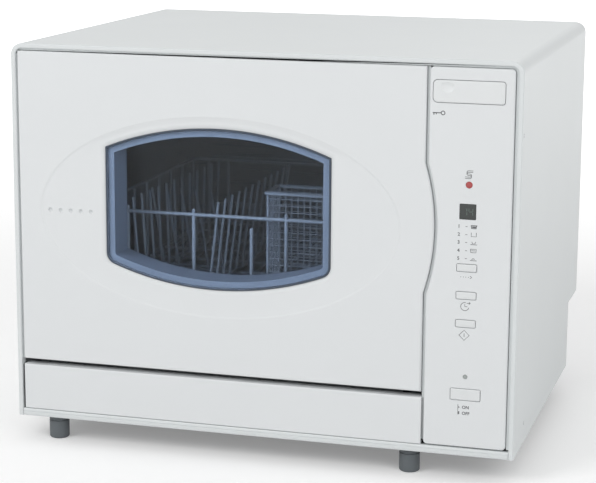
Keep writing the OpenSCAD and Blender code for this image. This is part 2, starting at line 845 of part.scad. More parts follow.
module filter_plate() {
    x = filter_at[0];
    y = filter_at[1];
    color(steel) in_cabinet() difference() {
        union() {
            translate([x, y, floor_z + 0.3]) cylinder(h = 1.2, d = filter_d);
            translate([x, y, floor_z + 0.3]) cylinder(h = 3, d = filter_cup_d + 10);
        }
        translate([x, y, floor_z - 1]) cylinder(h = 10, d = filter_cup_d + 0.2);
        translate([hub[0], hub[1], floor_z - 1]) cylinder(h = 10, d = 34.6);
        for (ring = [45:9:63]) {
            for (i = [0:17]) {
                translate([x + ring * cos(20 * i + 3), y + ring * sin(20 * i + 3), floor_z - 1])
                    cylinder(h = 4, d = 4, $fn = 6);
            }
        }
    }
}

module filter_cup() {
    x = filter_at[0];
    y = filter_at[1];
    color([0.60, 0.65, 0.72]) in_cabinet() {
        difference() {
            translate([x, y, floor_z - 34]) cylinder(h = 37, d = filter_cup_d);
            translate([x, y, floor_z - 32]) cylinder(h = 37, d = filter_cup_d - 4);
        }
        block(x - filter_cup_d / 2 + 1, x + filter_cup_d / 2 - 1, y - 2, y + 2, floor_z - 2, floor_z + 12);
        translate([x, y, floor_z - 33]) cylinder(h = 36, d = 12);
    }
}

module circulation_pump() {
    z = tray_z + tray_floor + 33;
    x1 = hub[0] - 68.3;
    color(dark) in_cabinet() {
        bar_x(filter_at[1], z, x1 - 22, x1, 62);
        bar_x(filter_at[1], z, x1 - 110, x1 - 21, 52);
        for (x = [x1 - 100, x1 - 40]) {
            block(x, x + 8, filter_at[1] - 22, filter_at[1] + 22, tray_z + tray_floor, z - 10);
        }
        bar_x(filter_at[1], z, x1 - 118, x1 - 109, 24);
    }
}

module drain_pump() {
    x0 = hub[0] + 62.3;
    y = salt_at[1] - 74;
    z = drain_at[1];
    color([0.55, 0.57, 0.60]) in_cabinet() {
        bar_x(y, z, x0, x0 + 20, 28);
        bar_x(y, z, x0 + 19, x0 + 44, 38);
        block(x0 + 22, x0 + 40, y - 14, y + 14, tray_z + tray_floor, z - 12);
        bar_x(y, z, x0 + 43, drain_at[0], 14);
        translate([drain_at[0], y, z]) sphere(d = 14);
        bar_y(drain_at[0], z, y, recess_y - 4, 14);
        bar_y(drain_at[0], z, recess_y - 6, recess_y - fit_gap, drain_d + 12);
        bar_y(drain_at[0], z, recess_y - 1, recess_y + 30, drain_d);
    }
}

module heater() {
    z = tray_z + tray_floor + 24;
    color(steel) in_cabinet() {
        bar_x(hub[1] - 52, z, hub[0] - 120, hub[0] + 20, 38);
        for (x = [hub[0] - 105, hub[0] - 5]) {
            block(x, x + 10, hub[1] - 64, hub[1] - 40, tray_z + tray_floor, z - 10);
        }
        translate([hub[0], hub[1] - 52, z]) cylinder(h = 24, d = 16);
    }
}

module softener() {
    x0 = salt_at[0] - 34;
    x1 = salt_at[0] + 40;
    y0 = salt_at[1] - 52;
    y1 = salt_at[1] + 42;
    z0 = tray_z + tray_floor + fit_gap;
    z1 = floor_z - tub_wall - fit_gap;
    color([0.82, 0.83, 0.84]) in_cabinet() difference() {
        union() {
            block(x0, x1, y0, y1, z0, z1 - 4);
            translate([salt_at[0], salt_at[1], z1 - 6]) cylinder(h = 6 + tub_wall + fit_gap, d = salt_d + 8);
        }
        translate([salt_at[0], salt_at[1], z0 + 3]) cylinder(h = 200, d = salt_d - 8);
    }
}

module salt_cap() {
    color([0.35, 0.37, 0.40]) in_cabinet() translate([salt_at[0], salt_at[1], 0]) {
        translate([0, 0, floor_z + fit_gap]) cylinder(h = 8, d = salt_d + 4);
        translate([0, 0, floor_z - 10]) cylinder(h = 11, d = salt_d - 8.2);
        translate([-23, -2.5, floor_z + 6]) cube([46, 5, 6]);
    }
}

module air_break() {
    x0 = door_cx + tub_half + tub_wall + 0.4;
    color([0.86, 0.88, 0.89]) in_cabinet() difference() {
        block(x0, x0 + 20, flange_y + 64, tub_back - 76, floor_z + 30, door_z1 - 40);
        for (z = [floor_z + 60:44:door_z1 - 90]) {
            block(x0 + 17, x0 + 21, flange_y + 74, tub_back - 86, z, z + 30);
        }
    }
}

module inlet_valve() {
    x = inlet_at[0];
    z = inlet_at[1];
    color([0.90, 0.90, 0.88]) in_cabinet() difference() {
        union() {
            bar_y(x, z, recess_y - 4, recess_y + 18, inlet_d);
            block(x - 17, x + 17, recess_y - 32, recess_y - fit_gap, z - 14, z + 14);
            translate([x, recess_y - 17, z + 13]) cylinder(h = 26, d = 24);
            block(x - 8, x + 8, recess_y - 26, recess_y - 10, tray_z + tray_floor, z - 13);
        }
        bar_y(x, z, recess_y + 4, recess_y + 19, inlet_d - 8.4);
    }
}

module cord_gland() {
    x = gland_at[0];
    z = gland_at[1];
    color(dark) in_cabinet() difference() {
        union() {
            bar_y(x, z, recess_y + sheet, recess_y + sheet + 5, 18);
            bar_y(x, z, recess_y - 8, recess_y + sheet + 1, 12.6);
        }
        bar_y(x, z, recess_y - 9, recess_y + 10, 7);
    }
}

// Control column

module key_hole(at, w, h, g) {
    slab_y(0, front_set + 20)
        rounded(at[0] - w / 2 - g, at[0] + w / 2 + g, at[1] - h / 2 - g, at[1] + h / 2 + g, 1.2);
}

module control_fascia() {
    color(white) in_cabinet() difference() {
        union() {
            slab_y(front_set - 0.3, front_set + 2.7) fascia_outline(0);
            difference() {
                slab_y(front_set + 2, front_set + 15) fascia_outline(0);
                slab_y(front_set + 1, front_set + 16) fascia_outline(2.4);
            }
        }
        key_hole(open_at, open_length, open_height, button_gap);
        for (z = key_z) {
            key_hole([button_x, z], key_length, key_height, button_gap);
        }
        key_hole(power_at, power_length, power_height, button_gap);
        key_hole(display_at, 17, 16, 0.2);
        bar_y(salt_light_at[0], salt_light_at[1], 0, 20, 7.2);
        bar_y(power_light_at[0], power_light_at[1], 0, 20, 4.8);
    }
}

module button(at, w, h, depth, rim = 2) {
    color([0.86, 0.87, 0.88]) in_cabinet() {
        slab_y(front_set - 0.9, front_set + depth)
            rounded(at[0] - w / 2, at[0] + w / 2, at[1] - h / 2, at[1] + h / 2, 1.2);
        slab_y(front_set + 3.1, front_set + 4.6)
            rounded(at[0] - w / 2 - rim, at[0] + w / 2 + rim, at[1] - h / 2 - rim, at[1] + h / 2 + rim, 1.6);
    }
}

module open_button() {
    button(open_at, open_length, open_height, 10, 0.8);
    color([0.86, 0.87, 0.88]) in_cabinet() bar_y(rod_x, rod_z, front_set + 8, latch_pivot[0] - 4, 6);
}

module programme_button() { button([button_x, key_z[0]], key_length, key_height, 9); }
module delay_button() { button([button_x, key_z[1]], key_length, key_height, 9); }
module start_button() { button([button_x, key_z[2]], key_length, key_height, 9); }
module power_button() { button(power_at, power_length, power_height, 9); }

module display_window() {
    color([0.12, 0.15, 0.14]) in_cabinet() slab_y(front_set - 0.1, front_set + 8)
        rounded(display_at[0] - 8.4, display_at[0] + 8.4, display_at[1] - 7.9, display_at[1] + 7.9, 0.8);
}

module salt_light() {
    color([0.62, 0.22, 0.18]) in_cabinet()
        bar_y(salt_light_at[0], salt_light_at[1], front_set - 0.5, front_set + 8, 7);
}

module power_light() {
    color([0.5, 0.51, 0.5]) in_cabinet()
        bar_y(power_light_at[0], power_light_at[1], front_set - 0.5, front_set + 8, 4.6);
}

module control_board() {
    y0 = front_set + 18;
    color([0.20, 0.42, 0.28]) in_cabinet() {
        block(column_x + 14, fascia_x1 - 6, y0, y0 + 1.6, fascia_z0 + 10, display_at[1] + 50);
        for (z = key_z) {
            block(button_x - 4, button_x + 4, y0 - 5.8, y0, z - 4, z + 4);
        }
        block(power_at[0] - 8, power_at[0] + 8, y0 - 6, y0, power_at[1] - 7, power_at[1] + 7);
        for (at = [display_at, salt_light_at, power_light_at]) {
            block(at[0] - 3, at[0] + 3, y0 - 10, y0, at[1] - 3, at[1] + 3);
        }
        for (z = [70, 130, 190]) {
            block(column_x + 22, column_x + 46, y0 + 1.6, y0 + 20, door_z0 + z, door_z0 + z + 28);
        }
        for (z = [fascia_z0 + 20, display_at[1] + 40]) {
            block(fascia_x1 - 14, fascia_x1 - 8, front_set + 2.7, y0, z - 3, z + 3);
        }
    }
}

// Door latch

module latch_housing() {
    x = striker_x;
    y0 = frame_y + sheet;
    color([0.80, 0.80, 0.78]) in_cabinet() difference() {
        block(x - 6.5, x + 6.5, y0, latch_pivot[0] + 14, striker_z - 14, latch_pivot[1] + 7);
        block(x - 3, x + 7, y0 - 1, latch_pivot[0] + 15, striker_z - 15, latch_pivot[1] + 4.5);
    }
    color(steel) in_cabinet() bar_x(latch_pivot[0], latch_pivot[1], x - 3.2, x + 5, 4);
}

module latch_hook() {
    x = striker_x;
    y = latch_pivot[0];
    z = latch_pivot[1];
    color(steel) in_cabinet() difference() {
        union() {
            slab_x(x - 1.5, x + 1.5) polygon([
                [y - 4.5, z + 3], [y + 4.5, z + 3], [y + 5, z - 10], [y + 4, rod_z - 4], [y - 3, rod_z - 4],
                [y - 4, striker_z - 6], [y - 30, striker_z - 6], [y - 31, striker_z - 0.9], [y - 27, striker_z - 0.9],
                [y - 22, striker_z - 3], [y - 18, striker_z - 3], [y - 12, striker_z + 2], [y - 6, z - 6]
            ]);
            block(x, rod_x + 4, y - 2.9, y + 1, rod_z - 3.5, rod_z + 3.5);
        }
        bar_x(y, z, x - 5, x + 5, 4 + 2 * pin_gap);
    }
}

// Rack

module rack_floor() {
    y0 = rack_y0 + front_slant + wire / 2 + 0.4;
    y1 = rack_y1 - wire / 2 - 0.4;
    inner = rack_half - wire / 2 - 0.4;
    color(coated) in_cabinet() {
        for (i = [0:14]) {
            x = door_cx - inner + 6 + i * (2 * inner - 12) / 14;
            rod([x, y0, rack_z], [x, y1, rack_z], tine);
        }
        for (i = [0:6]) {
            y = y0 + 8 + i * (y1 - y0 - 12) / 6;
            rod([door_cx - inner, y, rack_z + 2.6], [door_cx + inner, y, rack_z + 2.6], wire);
        }
    }
}

// Side wall of the rack with its two wheel hangers and axle stubs
module rack_side(s) {
    x = door_cx + s * rack_half;
    xh = x + s;
    reach = door_cx + s * (wheel_x + wheel_width / 2 + 1);
    low = rack_z + 3;
    rod([x, rack_y0, rack_top], [x, rack_y1, rack_top], wire);
    rod([x, rack_y0 + front_slant, low], [x, rack_y1, low], wire);
    for (i = [0:8]) {
        y = rack_y0 + front_slant + 4 + i * (rack_depth - front_slant - 8) / 8;
        rod([x, y, low], [x, y, rack_top], tine);
    }
    for (y = wheel_y) {
        rod([xh, y - 14, low], [xh, y, wheel_z], wire);
        rod([xh, y + 14, low], [xh, y, wheel_z], wire);
        rod([xh, y - 16, low], [xh, y + 16, low], wire);
        bar_x(y, wheel_z, min(xh - s * 2, reach), max(xh - s * 2, reach), axle_d);
    }
}

module rack_sides() {
    color(coated) in_cabinet() {
        rack_side(-1);
        rack_side(1);
    }
}

// Posts of the front and back wall, counted from the middle of the rack
rack_posts = [20 - rack_half, 46 - rack_half, -47.6, 57.4, rack_half - 60, rack_half - 20];

module rack_ends() {
    inner = rack_half - wire / 2 - 0.4;
    color(coated) in_cabinet() {
        for (y = [rack_y0, rack_y1]) {
            for (z = [rack_top, rack_z + front_slant]) {
                rod([door_cx - inner, y, z], [door_cx + inner, y, z], wire);
            }
        }
        foot_y = rack_y0 + front_slant;
        rod([door_cx - inner, foot_y, rack_z], [door_cx + inner, foot_y, rack_z], wire);
        rod([door_cx - inner, rack_y1, rack_z], [door_cx + inner, rack_y1, rack_z], wire);
        for (p = rack_posts) {
            x = door_cx + p;
            rod([x, rack_y0, rack_z + front_slant - 1], [x, rack_y0, rack_top + 5], wire);
            rod([x, rack_y0 + front_slant, rack_z], [x, rack_y0, rack_z + front_slant], wire);
            rod([x, rack_y1, rack_z], [x, rack_y1, rack_top], wire);
        }
        rod([door_cx + 18, rack_y0 + 1, rack_z + front_slant - 1], [door_cx + 18, rack_y0 + 1, rack_top - 13], wire);
    }
}

// One row of plate supports: x at the foot, lean of the first one and step from one to the next
module tine_row(x, lean, step) {
    foot_z = rack_z + 2.6 + wire / 2 + 0.3;
    for (i = [0:11]) {
        y = tine_y0 + i * tine_pitch;
        rod([x, y, foot_z], [x + lean + i * step, y, foot_z + tine_height], tine);
    }
    rod([x, tine_y0 - 6, foot_z + 1.6], [x, tine_y0 + 11 * tine_pitch + 6, foot_z + 1.6], tine);
}

module plate_supports() {
    color(coated) in_cabinet() {
        tine_row(tine_x[0], -8, 1.2);
        tine_row(tine_x[1], 11, 0.4);
    }
}

module wheel(s, y) {
    xc = door_cx + s * wheel_x;
    color([0.55, 0.57, 0.6]) in_cabinet() difference() {
        bar_x(y, wheel_z, xc - wheel_width / 2, xc + wheel_width / 2, wheel_d);
        bar_x(y, wheel_z, xc - wheel_width, xc + wheel_width, axle_d + 2 * pin_gap);
        for (side = [-1, 1]) {
            difference() {
                face_x = xc + side * (wheel_width / 2 - 1);
                bar_x(y, wheel_z, face_x - 1.5, face_x + 1.5, wheel_d - 6);
                bar_x(y, wheel_z, xc - 8, xc + 8, 12);
            }
        }
    }
}

module rack_wheel_front_left() { wheel(-1, wheel_y[0]); }
module rack_wheel_front_right() { wheel(1, wheel_y[0]); }
module rack_wheel_rear_left() { wheel(-1, wheel_y[1]); }
module rack_wheel_rear_right() { wheel(1, wheel_y[1]); }

// Cutlery basket

module cutlery_basket() {
    x0 = door_cx + rack_half - 10.5 - basket_length;
    y0 = rack_y0 + 11;
    z0 = rack_z + 5;
    half_room = basket_length / 2 - 1 - basket_wall;
    color(coated) in_cabinet() translate([x0, y0, z0]) difference() {
        union() {
            cube([basket_length, basket_depth, basket_height]);
            translate([-3, -2, basket_height - 3]) cube([basket_length + 6, basket_depth + 4, 3]);
        }
        for (x = [basket_wall, basket_length / 2 + 1]) {
            translate([x, basket_wall, 2]) cube([half_room, basket_depth - 2 * basket_wall, basket_height]);
        }
    }
}

cabinet_wrap();
back_panel();
base_tray();
bottom_trim();
kick_panel();
front_frame();
foot_front_left();
foot_front_right();
foot_rear_left();
foot_rear_right();
tub();
wheel_rails();
tub_seal();
hinge_brackets();
hinge_pins();
spray_hub();
filter_plate();
filter_cup();
sump();
circulation_pump();
drain_pump();
heater();
softener();
salt_cap();
inlet_valve();
cord_gland();
air_break();
control_fascia();
control_board();
display_window();
salt_light();
power_light();
open_button();
programme_button();
delay_button();
start_button();
power_button();
latch_housing();
latch_hook();
door_skin();
door_inner_panel();
door_striker();
hinge_arms();
window_gasket();
window_outer_pane();
window_frame();
window_inner_pane();
dispenser();
dispenser_lid();
rinse_cap();
spray_arm();
rack_floor();
rack_sides();
rack_ends();
plate_supports();
rack_wheel_front_left();
rack_wheel_front_right();
rack_wheel_rear_left();
rack_wheel_rear_right();
cutlery_basket();
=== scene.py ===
"""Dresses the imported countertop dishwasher: finishes, finer pieces over the plain solids, and a studio."""

import json  # noqa: E402
import logging  # noqa: E402
import math  # noqa: E402
from dataclasses import dataclass, replace  # noqa: E402
from enum import Enum  # noqa: E402
from typing import Callable, Iterable, Sequence  # noqa: E402

import bmesh  # noqa: E402
import bpy  # noqa: E402
from mathutils import Matrix, Quaternion, Vector  # noqa: E402

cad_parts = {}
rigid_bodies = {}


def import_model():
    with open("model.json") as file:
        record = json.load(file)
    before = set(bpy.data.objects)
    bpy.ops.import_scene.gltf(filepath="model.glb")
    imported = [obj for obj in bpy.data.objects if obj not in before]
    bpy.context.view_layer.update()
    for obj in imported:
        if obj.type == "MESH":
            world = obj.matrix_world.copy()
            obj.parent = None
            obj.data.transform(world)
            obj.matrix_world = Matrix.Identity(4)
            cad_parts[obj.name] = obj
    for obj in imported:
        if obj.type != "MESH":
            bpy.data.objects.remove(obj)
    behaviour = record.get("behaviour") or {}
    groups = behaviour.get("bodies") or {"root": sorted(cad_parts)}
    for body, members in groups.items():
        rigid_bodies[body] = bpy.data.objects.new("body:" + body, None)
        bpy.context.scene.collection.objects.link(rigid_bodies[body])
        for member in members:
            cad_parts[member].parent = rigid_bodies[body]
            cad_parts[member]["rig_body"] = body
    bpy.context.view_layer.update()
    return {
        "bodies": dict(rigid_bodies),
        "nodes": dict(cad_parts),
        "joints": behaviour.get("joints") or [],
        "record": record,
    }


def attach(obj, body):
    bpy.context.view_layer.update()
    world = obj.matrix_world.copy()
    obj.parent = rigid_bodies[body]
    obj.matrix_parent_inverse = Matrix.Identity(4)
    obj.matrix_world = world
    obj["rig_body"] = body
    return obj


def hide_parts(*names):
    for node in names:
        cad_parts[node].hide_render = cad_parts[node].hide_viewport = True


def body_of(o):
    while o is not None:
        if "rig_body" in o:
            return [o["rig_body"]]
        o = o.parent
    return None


LOG = logging.getLogger("dishwasher")
MM = 0.001
Point = tuple[float, float, float]
Flat = tuple[float, float]
Colour = tuple[float, float, float]


@dataclass(frozen=True)
class Layout:
    """Main sizes in millimetres: X from the middle, Y into the cabinet from its front, Z from the worktop."""

    depth: float = 453.0
    front_set: float = 1.5
    door_left: float = -268.5
    door_right: float = 176.5
    door_low: float = 92.0
    door_high: float = 430.0
    door_middle: float = -46.0
    column_left: float = 180.0
    column_right: float = 266.3
    column_low: float = 36.5
    column_high: float = 430.0


SIZE = Layout()


def spot(x: float, y: float, z: float) -> Vector:
    """A point of the layout in millimetres as a point of the row frame in metres."""
    return Vector((x, y - SIZE.depth / 2, z)) * MM


def layout_point(place: Vector) -> Vector:
    """A point of the row frame in metres as a point of the layout in millimetres."""
    return place / MM + Vector((0, SIZE.depth / 2, 0))


# Node trees and shared effects


class Tree:
    """Adds nodes to one node tree and joins their sockets."""

    def __init__(self, tree: bpy.types.NodeTree) -> None:
        """Keeps the tree that the nodes go into."""
        self.tree = tree

    def add(self, kind: str, **values: object) -> bpy.types.Node:
        """Adds a node.

        Args:
            kind: Blender's name of the node type.
            values: node properties, or input values under the socket's name with underscores for spaces.

        Returns:
            The new node.
        """
        node = self.tree.nodes.new(kind)
        for key, value in values.items():
            if hasattr(node, key) and key not in {"color"}:
                setattr(node, key, value)
            else:
                node.inputs[key.replace("_", " ")].default_value = value
        return node

    def join(self, start: bpy.types.NodeSocket, end: bpy.types.NodeSocket) -> None:
        """Links one output to one input."""
        self.tree.links.new(start, end)

    def maths(self, operation: str, first: object, second: object) -> bpy.types.NodeSocket:
        """Adds a Math node.

        Args:
            operation: the Math node's operation.
            first: a socket or a number.
            second: a socket or a number.

        Returns:
            The node's output.
        """
        node = self.add("ShaderNodeMath", operation=operation)
        for index, value in enumerate((first, second)):
            if isinstance(value, bpy.types.NodeSocket):
                self.join(value, node.inputs[index])
            else:
                node.inputs[index].default_value = value
        return node.outputs[0]


def new_group(
    name: str, inputs: Sequence[tuple[str, str, object]], outputs: Sequence[tuple[str, str]]
) -> tuple[bpy.types.NodeTree, Tree, bpy.types.Node, bpy.types.Node]:
    """Starts a shader node group.

    Args:
        name: the group's name.
        inputs: name, socket type and default of each input.
        outputs: name and socket type of each output.

    Returns:
        The group, its Tree, its input node and its output node.
    """
    group = bpy.data.node_groups.new(name, "ShaderNodeTree")
    for label, kind, value in inputs:
        group.interface.new_socket(name=label, in_out="INPUT", socket_type=kind).default_value = value
    for label, kind in outputs:
        group.interface.new_socket(name=label, in_out="OUTPUT", socket_type=kind)
    tree = Tree(group)
    return group, tree, tree.add("NodeGroupInput"), tree.add("NodeGroupOutput")


class Effects:
    """The shader node groups that several finishes share, each built once."""

    def __init__(self) -> None:
        """Builds the four groups."""
        self.mottle = self._mottle()
        self.grain = self._grain()
        self.brushed = self._brushed()
        self.spangle = self._spangle()

    @staticmethod
    def _mottle() -> bpy.types.NodeTree:
        """Slow change of a colour over the surface."""
        group, t, start, end = new_group(
            "slow_mottle",
            [
                ("Color", "NodeSocketColor", (0.8, 0.8, 0.8, 1)),
                ("Size", "NodeSocketFloat", 12.0),
                ("Amount", "NodeSocketFloat", 0.03),
            ],
            [("Color", "NodeSocketColor")],
        )
        where = t.add("ShaderNodeTexCoord")
        noise = t.add("ShaderNodeTexNoise", Detail=4.0, Roughness=0.6)
        t.join(where.outputs["Object"], noise.inputs["Vector"])
        t.join(start.outputs["Size"], noise.inputs["Scale"])
        swing = t.maths("MULTIPLY", t.maths("SUBTRACT", noise.outputs["Fac"], 0.5), start.outputs["Amount"])
        shade = t.add("ShaderNodeHueSaturation")
        t.join(t.maths("ADD", t.maths("MULTIPLY", swing, 2.0), 1.0), shade.inputs["Value"])
        t.join(start.outputs["Color"], shade.inputs["Color"])
        t.join(shade.outputs["Color"], end.inputs["Color"])
        return group

    @staticmethod
    def _grain() -> bpy.types.NodeTree:
        """Fine grain for a bump, and a roughness that wanders with handling."""
        group, t, start, end = new_group(
            "fine_grain",
            [
                ("Scale", "NodeSocketFloat", 900.0),
                ("Roughness", "NodeSocketFloat", 0.35),
                ("Spread", "NodeSocketFloat", 0.08),
            ],
            [("Roughness", "NodeSocketFloat"), ("Height", "NodeSocketFloat")],
        )
        where = t.add("ShaderNodeTexCoord")
        fine = t.add("ShaderNodeTexNoise", Detail=2.0)
        slow = t.add("ShaderNodeTexNoise", Scale=9.0, Detail=3.0)
        t.join(where.outputs["Object"], fine.inputs["Vector"])
        t.join(where.outputs["Object"], slow.inputs["Vector"])
        t.join(start.outputs["Scale"], fine.inputs["Scale"])
        swing = t.maths("MULTIPLY", t.maths("SUBTRACT", slow.outputs["Fac"], 0.5), start.outputs["Spread"])
        t.join(t.maths("ADD", swing, start.outputs["Roughness"]), end.inputs["Roughness"])
        t.join(fine.outputs["Fac"], end.inputs["Height"])
        return group

    @staticmethod
    def _brushed() -> bpy.types.NodeTree:
        """Fine lines that run along X, as on brushed sheet."""
        group, t, start, end = new_group(
            "brushed_lines",
            [
                ("Color", "NodeSocketColor", (0.7, 0.7, 0.7, 1)),
                ("Roughness", "NodeSocketFloat", 0.3),
                ("Spread", "NodeSocketFloat", 0.15),
                ("Stretch", "NodeSocketVector", (6.0, 900.0, 900.0)),
            ],
            [("Color", "NodeSocketColor"), ("Roughness", "NodeSocketFloat"), ("Height", "NodeSocketFloat")],
        )
        where = t.add("ShaderNodeTexCoord")
        stretch = t.add("ShaderNodeVectorMath", operation="MULTIPLY")
        noise = t.add("ShaderNodeTexNoise", Scale=1.0, Detail=3.0)
        t.join(where.outputs["Object"], stretch.inputs[0])
        t.join(start.outputs["Stretch"], stretch.inputs[1])
        t.join(stretch.outputs[0], noise.inputs["Vector"])
        swing = t.maths("SUBTRACT", noise.outputs["Fac"], 0.5)
        rough = t.maths("MULTIPLY", swing, start.outputs["Spread"])
        t.join(t.maths("ADD", rough, start.outputs["Roughness"]), end.inputs["Roughness"])
        shade = t.add("ShaderNodeHueSaturation")
        t.join(t.maths("ADD", t.maths("MULTIPLY", swing, 0.16), 1.0), shade.inputs["Value"])
        t.join(start.outputs["Color"], shade.inputs["Color"])
        t.join(shade.outputs["Color"], end.inputs["Color"])
        t.join(noise.outputs["Fac"], end.inputs["Height"])
        return group

    @staticmethod
    def _spangle() -> bpy.types.NodeTree:
        """The frosty patches of hot zinc plating."""
        group, t, start, end = new_group(
            "zinc_spangle",
            [
                ("Color", "NodeSocketColor", (0.62, 0.64, 0.66, 1)),
                ("Size", "NodeSocketFloat", 90.0),
                ("Roughness", "NodeSocketFloat", 0.4),
            ],
            [("Color", "NodeSocketColor"), ("Roughness", "NodeSocketFloat"), ("Height", "NodeSocketFloat")],
        )
        where = t.add("ShaderNodeTexCoord")
        cells = t.add("ShaderNodeTexVoronoi", feature="F1")
        t.join(where.outputs["Object"], cells.inputs["Vector"])
        t.join(start.outputs["Size"], cells.inputs["Scale"])
        split = t.add("ShaderNodeSeparateColor")
        t.join(cells.outputs["Color"], split.inputs["Color"])
        swing = t.maths("SUBTRACT", split.outputs[0], 0.5)
        shade = t.add("ShaderNodeHueSaturation")
        t.join(t.maths("ADD", t.maths("MULTIPLY", swing, 0.22), 1.0), shade.inputs["Value"])
        t.join(start.outputs["Color"], shade.inputs["Color"])
        t.join(shade.outputs["Color"], end.inputs["Color"])
        rough = t.maths("MULTIPLY", swing, 0.18)
        t.join(t.maths("ADD", rough, start.outputs["Roughness"]), end.inputs["Roughness"])
        t.join(cells.outputs["Distance"], end.inputs["Height"])
        return group


# Finishes


def opaque(colour: Colour) -> tuple[float, float, float, float]:
    """The colour with full alpha."""
    return (*colour, 1.0)


@dataclass(frozen=True)
class Finish:
    """Moulded plastic, paint or rubber: a mottled colour with a fine grain.

    The colour is linear; scales are per metre of the row frame.
    """

    name: str
    colour: Colour
    roughness: float = 0.4
    spread: float = 0.08
    metallic: float = 0.0
    coat: float = 0.0
    grain: float = 900.0
    grain_depth: float = 0.00003
    mottle: float = 0.02
    mottle_size: float = 12.0
    glow: float = 0.0

    def start(self) -> tuple[bpy.types.Material, Tree, bpy.types.Node]:
        """Makes the material with its Principled shader.

        Returns:
            The material, its Tree and the Principled node.
        """
        material = bpy.data.materials.new(self.name)
        material.use_nodes = True
        tree = Tree(material.node_tree)
        shader = material.node_tree.nodes["Principled BSDF"]
        shader.inputs["Base Color"].default_value = opaque(self.colour)
        shader.inputs["Roughness"].default_value = self.roughness
        shader.inputs["Metallic"].default_value = self.metallic
        shader.inputs["Coat Weight"].default_value = self.coat
        if self.glow:
            shader.inputs["Emission Color"].default_value = opaque(self.colour)
            shader.inputs["Emission Strength"].default_value = self.glow
        return material, tree, shader

    def bump(self, tree: Tree, shader: bpy.types.Node, height: bpy.types.NodeSocket, depth: float) -> None:
        """Feeds a height through a Bump node into the shader's normal."""
        bump = tree.add("ShaderNodeBump", Strength=1.0, Distance=depth)
        tree.join(height, bump.inputs["Height"])
        tree.join(bump.outputs["Normal"], shader.inputs["Normal"])

    def make(self, effects: Effects) -> bpy.types.Material:
        """Builds the material.

        Args:
            effects: the shared node groups.

        Returns:
            The finished material.
        """
        material, tree, shader = self.start()
        mottle = tree.add("ShaderNodeGroup", node_tree=effects.mottle)
        mottle.inputs["Color"].default_value = opaque(self.colour)
        mottle.inputs["Size"].default_value = self.mottle_size
        mottle.inputs["Amount"].default_value = self.mottle
        tree.join(mottle.outputs["Color"], shader.inputs["Base Color"])
        grain = tree.add("ShaderNodeGroup", node_tree=effects.grain)
        grain.inputs["Scale"].default_value = self.grain
        grain.inputs["Roughness"].default_value = self.roughness
        grain.inputs["Spread"].default_value = self.spread
        tree.join(grain.outputs["Roughness"], shader.inputs["Roughness"])
        if self.grain_depth:
            self.bump(tree, shader, grain.outputs["Height"], self.grain_depth)
        return material


@dataclass(frozen=True)
class BrushedFinish(Finish):
    """Brushed sheet metal with fine lines along one direction."""

    stretch: Point = (6.0, 900.0, 900.0)

    def make(self, effects: Effects) -> bpy.types.Material:
        """Builds the material from the shared brushed lines."""
        material, tree, shader = self.start()
        lines = tree.add("ShaderNodeGroup", node_tree=effects.brushed)
        lines.inputs["Color"].default_value = opaque(self.colour)
        lines.inputs["Roughness"].default_value = self.roughness
        lines.inputs["Spread"].default_value = self.spread
        lines.inputs["Stretch"].default_value = self.stretch
        tree.join(lines.outputs["Color"], shader.inputs["Base Color"])
        tree.join(lines.outputs["Roughness"], shader.inputs["Roughness"])
        self.bump(tree, shader, lines.outputs["Height"], self.grain_depth)
        return material


@dataclass(frozen=True)
class ZincFinish(Finish):
    """Zinc plated sheet with its spangle."""

    def make(self, effects: Effects) -> bpy.types.Material:
        """Builds the material from the shared spangle."""
        material, tree, shader = self.start()
        cells = tree.add("ShaderNodeGroup", node_tree=effects.spangle)
        cells.inputs["Color"].default_value = opaque(self.colour)
        cells.inputs["Size"].default_value = self.mottle_size
        cells.inputs["Roughness"].default_value = self.roughness
        tree.join(cells.outputs["Color"], shader.inputs["Base Color"])
        tree.join(cells.outputs["Roughness"], shader.inputs["Roughness"])
        self.bump(tree, shader, cells.outputs["Height"], self.grain_depth)
        return material


@dataclass(frozen=True)
class GlassFinish(Finish):
    """A clear or tinted pane that lets the lamps through."""

    lamp_tint: Colour = (0.97, 0.98, 1.0)
    index: float = 1.2

    def make(self, effects: Effects) -> bpy.types.Material:
        """Builds the glass with a wandering polish, and a Transparent shader for rays from the lamps."""
        material, tree, shader = self.start()
        shader.inputs["Transmission Weight"].default_value = 1.0
        shader.inputs["IOR"].default_value = self.index
        grain = tree.add("ShaderNodeGroup", node_tree=effects.grain)
        grain.inputs["Scale"].default_value = self.grain
        grain.inputs["Roughness"].default_value = self.roughness
        grain.inputs["Spread"].default_value = self.spread
        tree.join(grain.outputs["Roughness"], shader.inputs["Roughness"])
        clear = tree.add("ShaderNodeBsdfTransparent", Color=opaque(self.lamp_tint))
        path = tree.add("ShaderNodeLightPath")
        mix = tree.add("ShaderNodeMixShader")
        tree.join(path.outputs["Is Shadow Ray"], mix.inputs[0])
        tree.join(shader.outputs[0], mix.inputs[1])
        tree.join(clear.outputs[0], mix.inputs[2])
        tree.join(mix.outputs[0], material.node_tree.nodes["Material Output"].inputs["Surface"])
        return material


def moulded(name: str, colour: Colour, roughness: float, grain: float, depth: float, mottle: float) -> Finish:
    """A moulded plastic or rubber finish from its few main values."""
    return Finish(name, colour, roughness, 0.08, grain=grain, grain_depth=depth, mottle=mottle)


def lens(name: str, colour: Colour, roughness: float, coat: float, glow: float = 0.0) -> Finish:
    """A glossy finish without grain."""
    return Finish(
        name, colour, roughness, 0.05, coat=coat, grain=1500, grain_depth=0.0, mottle=0.04, glow=glow
    )


